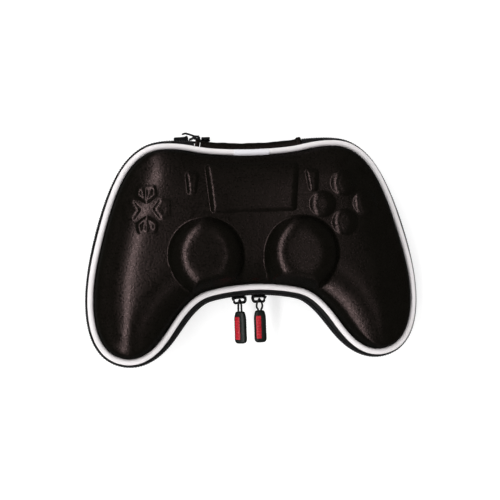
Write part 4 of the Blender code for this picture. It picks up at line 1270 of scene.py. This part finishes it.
for side in ("left", "right"):
    c0 = SL_X[side] + (0.1 if side == "left" else 0.2)
    ax, ay = polar(ROD_R, c0)
    spread = 1.0 if side == "left" else 1.75
    # cord loop: two-ply twisted yarn round the crown bar
    route = [(-0.9, -6.4, 0.25), (-1.0, -4.85, 0.35), (-spread, -3.4, 0.9), (-spread, -1.6, 1.35), (-0.75 * spread, -0.2, 1.75),
             (-0.4, 1.2, 1.25), (0.0, 1.7, 0.0), (0.4, 1.2, -1.25), (0.75 * spread, -0.2, -1.75),
             (spread, -1.6, -1.35), (spread, -3.4, -0.9), (1.0, -4.85, -0.35), (0.9, -6.4, -0.25)]
    path = spline([(ax + a, ay + b, Z_SPLIT + c) for a, b, c in route], 0.11)
    v, f = tube(path, 0.60, 16, ripple=lambda i, a: 0.92 + 0.12 * np.abs(np.cos(a - i * 0.21)))
    ob = emit("pull_cord_loop_" + side, v, f, [cord_yarn("pull_cord_yarn_" + side)], sharp=None)
    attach(ob, "pull_" + side)
    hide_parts("pull_cord_" + side)

    tw = math.radians(TWIST[side])
    ct, sn = math.cos(tw), math.sin(tw)

    def place(p, ax=ax, ay=ay, ct=ct, sn=sn):
        p = np.asarray(p, float)
        x, y, z = p[..., 0], p[..., 1], p[..., 2]
        return np.stack([ax + x * ct + z * sn, ay - 5.3 + y, Z_SPLIT - x * sn + z * ct], -1)
    vs_ = np.r_[0.0, 0.12, 0.3, 0.55, 0.85, 1.2, np.linspace(1.6, TAB_LEN - 2.8, 58), TAB_LEN - 2.3,
                TAB_LEN - 1.8, TAB_LEN - 1.3, TAB_LEN - 0.85, TAB_LEN - 0.5, TAB_LEN - 0.25, TAB_LEN - 0.08, TAB_LEN]
    sides = 72
    ang = 2 * math.pi * np.arange(sides) / sides
    a, t = tab_shape(vs_)
    ex = 2 / 3.2
    cu = np.sign(np.cos(ang)) * np.abs(np.cos(ang)) ** ex
    su = np.sign(np.sin(ang)) * np.abs(np.sin(ang)) ** ex
    X = a[:, None] * cu[None, :]
    Z = t[:, None] * su[None, :]
    Y = -np.repeat(vs_[:, None], sides, 1)
    # shallow panel for the strip, a groove round it, and grip ribs down the sides
    uu = X / (TAB_W / 2)
    inside = smin(smin((uu + 0.86) * 3.7, (0.16 - uu) * 3.7, 0.3), smin(-Y - 2.4, TAB_LEN - 1.6 + Y, 0.3), 0.3)
    top = ease(su[None, :] / 0.5)
    Z = Z - 0.22 * ease(inside / 0.35) * top
    rib = np.abs(np.sin(math.pi * (-Y - 3.0) / 1.5)) ** 0.7
    edge = ease((np.abs(cu[None, :]) - 0.86) / 0.1) * ease((-Y - 4.0) / 1.0) * ease((TAB_LEN - 4.2 + Y) / 1.0)
    X = X * (1 - 0.05 * edge * (1 - rib))
    tv = place(np.stack([X, Y, Z], -1).reshape(-1, 3))
    n = len(vs_)
    tf = grid_faces(n, sides, False, True)
    tf.append(tuple(range(sides)))
    tf.append(tuple((n - 1) * sides + k for k in reversed(range(sides))))
    ob = emit("pull_tab_body_" + side, tv, tf, [M_RUB[side]], sharp=60)
    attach(ob, "pull_" + side)
    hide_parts("pull_tab_" + side)

    # red strip: a thin bed with raised cross bars
    parts = []
    u0, u1 = -0.78, 0.04
    v0, v1 = 3.2, TAB_LEN - 2.4

    def raised(ua, ub, va, vb, h0, h1, r):
        """Rounded bar that follows the tab's face."""
        lo = rounded_rect(ua, ub, va, vb, r, 0.18)
        cen = lo.mean(0)
        rings = []
        for q, hh in ((1.0, h0), (1.0, h0 + (h1 - h0) * 0.6), (0.96, h1 - 0.08), (0.88, h1)):
            p = cen + (lo - cen) * q
            if q < 1:
                sz = np.ptp(lo, axis=0) / 2
                cut = (1 - q) * min(sz) * 1.4
                p = cen + (lo - cen) * (1 - cut / sz)
            x, y, z = tab_point(p[:, 0] / (TAB_W / 2), p[:, 1], hh)
            rings.append(np.column_stack([x, y, z]))
        m = len(lo)
        vv = np.vstack(rings)
        ff = grid_faces(4, m, False, True)
        ff.append(tuple(range(m)))
        ff.append(tuple(3 * m + k for k in reversed(range(m))))
        return place(vv), ff
    k = TAB_W / 2
    parts.append(raised(u0 * k, u1 * k, v0, v1, -0.30, -0.05, 0.5))
    cnt = 8
    gap = 0.42
    ln = (v1 - v0 - 0.5 - gap * (cnt - 1)) / cnt
    for i in range(cnt):
        va = v0 + 0.25 + i * (ln + gap)
        parts.append(raised(u0 * k + 0.22, u1 * k - 0.22, va, va + ln, -0.12, 0.36, 0.35))
    v, f = merge(parts)
    ob = emit("pull_insert_ribs_" + side, v, f, [M_RED[side]], sharp=50)
    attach(ob, "pull_" + side)
    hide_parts("pull_insert_" + side)

# ================================================================ hook and webbing
EYE = (-25.6, 68.5, 26.8)
ex_, ey_, ez_ = EYE
HZ0, HZ1 = ez_ - 1.2, ez_ + 1.2
M_WEB = tape_cloth("webbing_weave", 1.5, 0.0009)
web = []
web.append(prism(rounded_rect(ex_ - 2.65, ex_ + 2.65, 62.0, 64.9, 0.3, 0.3), 28.6, 29.38))
neck = corner_round([(64.0, 28.65), (64.0, 29.33), (65.0, 29.33), (66.9, 27.4), (70.0, 27.4), (70.0, 26.2),
                     (66.5, 26.2), (64.6, 28.65)], 0.4, 0.3, True)
web.append(prism(neck, ex_ - 1.2, ex_ + 1.2, lambda a, b, c: (c, a, b)))
web.append(prism(rounded_rect(ex_ - 2.65, ex_ + 2.65, ez_ - 1.8, ez_ + 1.8, 0.5, 0.3), 69.5, 70.4, lambda a, b, c: (a, c, b)))
wide = corner_round([(63.6, 28.65), (63.6, 29.33), (65.0, 29.33), (66.9, 27.5), (67.5, 27.2), (67.5, 26.5), (66.6, 26.4), (64.4, 28.3)], 0.3, 0.3, True)
web.append(prism(wide, ex_ - 2.65, ex_ + 2.65, lambda a, b, c: (c, a, b)))
v, f = fuse(web, 0.11, 3)
ob = emit("webbing_tab", v, f, [M_WEB], sharp=None)
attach(ob, "base")
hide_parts("strap_tab")

plan = [(-28.0, 67.95), (-28.9, 67.6), (-30.2, 66.9), (-44.3, 66.9), (-45.2, 67.8), (-45.2, 70.2), (-44.7, 70.7),
        (-41.0, 70.8), (-38.3, 71.05), (-37.7, 71.55), (-36.9, 71.5), (-36.3, 70.7), (-36.3, 68.6), (-35.0, 68.05),
        (-30.5, 68.05), (-30.2, 68.4), (-30.2, 69.3), (-31.8, 69.35), (-32.1, 69.8), (-32.1, 70.5), (-31.7, 70.95),
        (-29.4, 70.95), (-28.9, 70.5), (-28.9, 69.1), (-28.0, 69.05)]
parts = [prism(corner_round(plan, 0.4, 0.3, True), HZ0, HZ1)]
ring_a = 2 * math.pi * np.arange(48) / 48
ring = np.column_stack([ex_ + 2.28 * np.cos(ring_a), np.full(48, ey_), ez_ + 2.28 * np.sin(ring_a)])
parts.append(tube(ring, 0.6, 16, closed=True, up=(0, 1, 0)))
v, f = fuse(parts, 0.11, 4)
ob = emit("snap_hook_body", v, f, [painted_metal("hook_black_metal", worn=(0.35, 0.35, 0.36), wear=0.535)], sharp=None)
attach(ob, "hook")
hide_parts("hook_body")

PIN = (-31.0, 70.1)
a = 2 * math.pi * np.arange(20) / 20
rings = []
for r, z in ((0.22, HZ0 - 0.9), (0.32, HZ0 - 0.8), (0.32, HZ1 + 0.8), (0.22, HZ1 + 0.9)):
    rings.append(np.column_stack([PIN[0] + r * np.cos(a), PIN[1] + r * np.sin(a), np.full(20, z)]))
f = grid_faces(4, 20, False, True)
f.append(tuple(range(20)))
f.append(tuple(60 + k for k in reversed(range(20))))
ob = emit("gate_pin_rivet", np.vstack(rings), f, [painted_metal("pin_steel", (0.25, 0.25, 0.26), (0.5, 0.5, 0.5), 0.25)])
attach(ob, "hook")
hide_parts("gate_pin")

parts = []
for z0, z1 in ((HZ1 + 0.15, HZ1 + 0.6), (HZ0 - 0.6, HZ0 - 0.15)):
    ear = corner_round([(-33.0, 71.3), (-33.1, 69.75), (-31.9, 69.3), (-30.3, 69.3), (-29.8, 69.8), (-29.6, 71.3)], 0.35, 0.25, True)
    parts.append(prism(ear, z0, z1))
bar = corner_round([(-32.3, 71.3), (-32.3, 69.85), (-33.6, 69.5), (-34.6, 68.98), (-35.9, 68.95), (-35.95, 69.6),
                    (-34.2, 70.2), (-33.2, 71.2)], 0.2, 0.3, True)
parts.append(prism(bar, HZ0 - 0.6, HZ1 + 0.6))
lever = corner_round([(-29.4, 71.1), (-29.4, 71.42), (-32.3, 71.65), (-35.2, 72.75), (-37.5, 73.5), (-38.4, 73.4),
                      (-40.2, 72.85), (-40.2, 72.4), (-38.1, 72.85), (-35.2, 72.1), (-33.0, 71.1)], 0.25, 0.25, True)
parts.append(prism(lever, HZ0 - 0.6, HZ1 + 0.6))
v, f = fuse(parts, 0.1, 2)
ob = emit("snap_hook_gate", v, f, [painted_metal("gate_steel", (0.02, 0.02, 0.021), (0.30, 0.30, 0.31), 0.3)], sharp=None)
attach(ob, "gate")
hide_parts("hook_gate")

# ================================================================ stage, light, camera
scene = bpy.context.scene
fm = Mat("floor_pale", rough=0.8, spec=0.1, color=(0.6, 0.6, 0.6))
fm.b.inputs["Emission Color"].default_value = (1.0, 1.0, 1.0, 1)
fm.b.inputs["Emission Strength"].default_value = 0.60
fme = bpy.data.meshes.new("floor")
fme.from_pydata([(-8, -8, 0), (8, -8, 0), (8, 8, 0), (-8, 8, 0)], [], [(0, 1, 2, 3)])
floor = bpy.data.objects.new("floor", fme)
scene.collection.objects.link(floor)
fme.materials.append(fm.m)
floor.visible_glossy = False

# pale backdrop far behind everything, seen but not lighting the case
bd = Mat("backdrop_pale", rough=1.0, spec=0.0, color=(0.0, 0.0, 0.0))
bd.b.inputs["Emission Color"].default_value = (0.93, 0.93, 0.93, 1)
bd.b.inputs["Emission Strength"].default_value = 1.0
bma = 2 * math.pi * np.arange(48) / 48
bv = [(7.9 * math.cos(q), 7.9 * math.sin(q), z) for z in (-0.5, 6.0) for q in bma]
bme = bpy.data.meshes.new("backdrop")
bme.from_pydata(bv, [], grid_faces(2, 48, False, True))
backdrop = bpy.data.objects.new("backdrop", bme)
scene.collection.objects.link(backdrop)
bme.materials.append(bd.m)
backdrop.visible_diffuse = False
backdrop.visible_glossy = False
backdrop.visible_shadow = False

world = bpy.data.worlds.new("studio")
scene.world = world
world.use_nodes = True
world.node_tree.nodes["Background"].inputs["Color"].default_value = (1.0, 1.0, 1.0, 1)
world.node_tree.nodes["Background"].inputs["Strength"].default_value = 0.46
# the room is dim where it is mirrored: glossy rays see the world at strength 0.05, all other rays at 0.46
dim = world.node_tree.nodes.new("ShaderNodeBackground")
dim.inputs["Strength"].default_value = 0.05
path = world.node_tree.nodes.new("ShaderNodeLightPath")
both = world.node_tree.nodes.new("ShaderNodeMixShader")
world.node_tree.links.new(path.outputs["Is Glossy Ray"], both.inputs[0])
world.node_tree.links.new(world.node_tree.nodes["Background"].outputs[0], both.inputs[1])
world.node_tree.links.new(dim.outputs[0], both.inputs[2])
world.node_tree.links.new(both.outputs[0], world.node_tree.nodes["World Output"].inputs["Surface"])

TARGET = Vector((0.0, Y0 * MM, 0.0405))


def softbox(name, x, y, z, w, h, power, color=(1, 1, 1)):
    """Area light at x, y, z metres from the lid's middle and facing it, w across and h along the case's depth."""
    d = Vector((x, y, z))
    li = bpy.data.lights.new(name, "AREA")
    li.shape = "RECTANGLE"
    li.size, li.size_y = w, h
    li.energy = power
    li.color = color
    ob = bpy.data.objects.new(name, li)
    ob.location = TARGET + d
    zz = d.normalized()
    xx = Vector((0, 1, 0)).cross(zz).normalized()
    ob.rotation_mode = "QUATERNION"
    ob.rotation_quaternion = Matrix((xx, zz.cross(xx), zz)).transposed().to_quaternion()
    ob.visible_camera = False
    scene.collection.objects.link(ob)
    return ob


softbox("key_left", -0.49, 0.0, 1.21, 0.13, 2.8, 19.5)
softbox("strip_right", 0.163, 0.0, 0.8, 0.05, 0.7, 0.36)

yaw, pitch, roll = math.radians(4.77), math.radians(1.4), math.radians(1.98)
nrm = Vector((-math.sin(yaw) * math.cos(pitch), -math.sin(pitch), math.cos(yaw) * math.cos(pitch)))
right = Vector((0, 1, 0)).cross(nrm).normalized()
upv = nrm.cross(right)
c, s = math.cos(roll), math.sin(roll)
ir = right * c - upv * s
iu = right * s + upv * c
cam_data = bpy.data.cameras.new("cam")
cam = bpy.data.objects.new("cam", cam_data)
scene.collection.objects.link(cam)
cam_data.sensor_width = 36.0
cam_data.lens = 54.07
cam_data.shift_x = -0.00535
cam_data.shift_y = -0.00076
cam_data.clip_start = 0.01
cam_data.clip_end = 20
cam.location = TARGET + nrm * 0.45
rot = Matrix((ir, iu, nrm)).transposed()
cam.rotation_mode = "QUATERNION"
cam.rotation_quaternion = rot.to_quaternion()
scene.camera = cam
scene.view_settings.view_transform = "Standard"
scene.view_settings.look = "None"
scene.view_settings.exposure = 0.0
scene.view_settings.gamma = 1.0

bpy.context.view_layer.update()
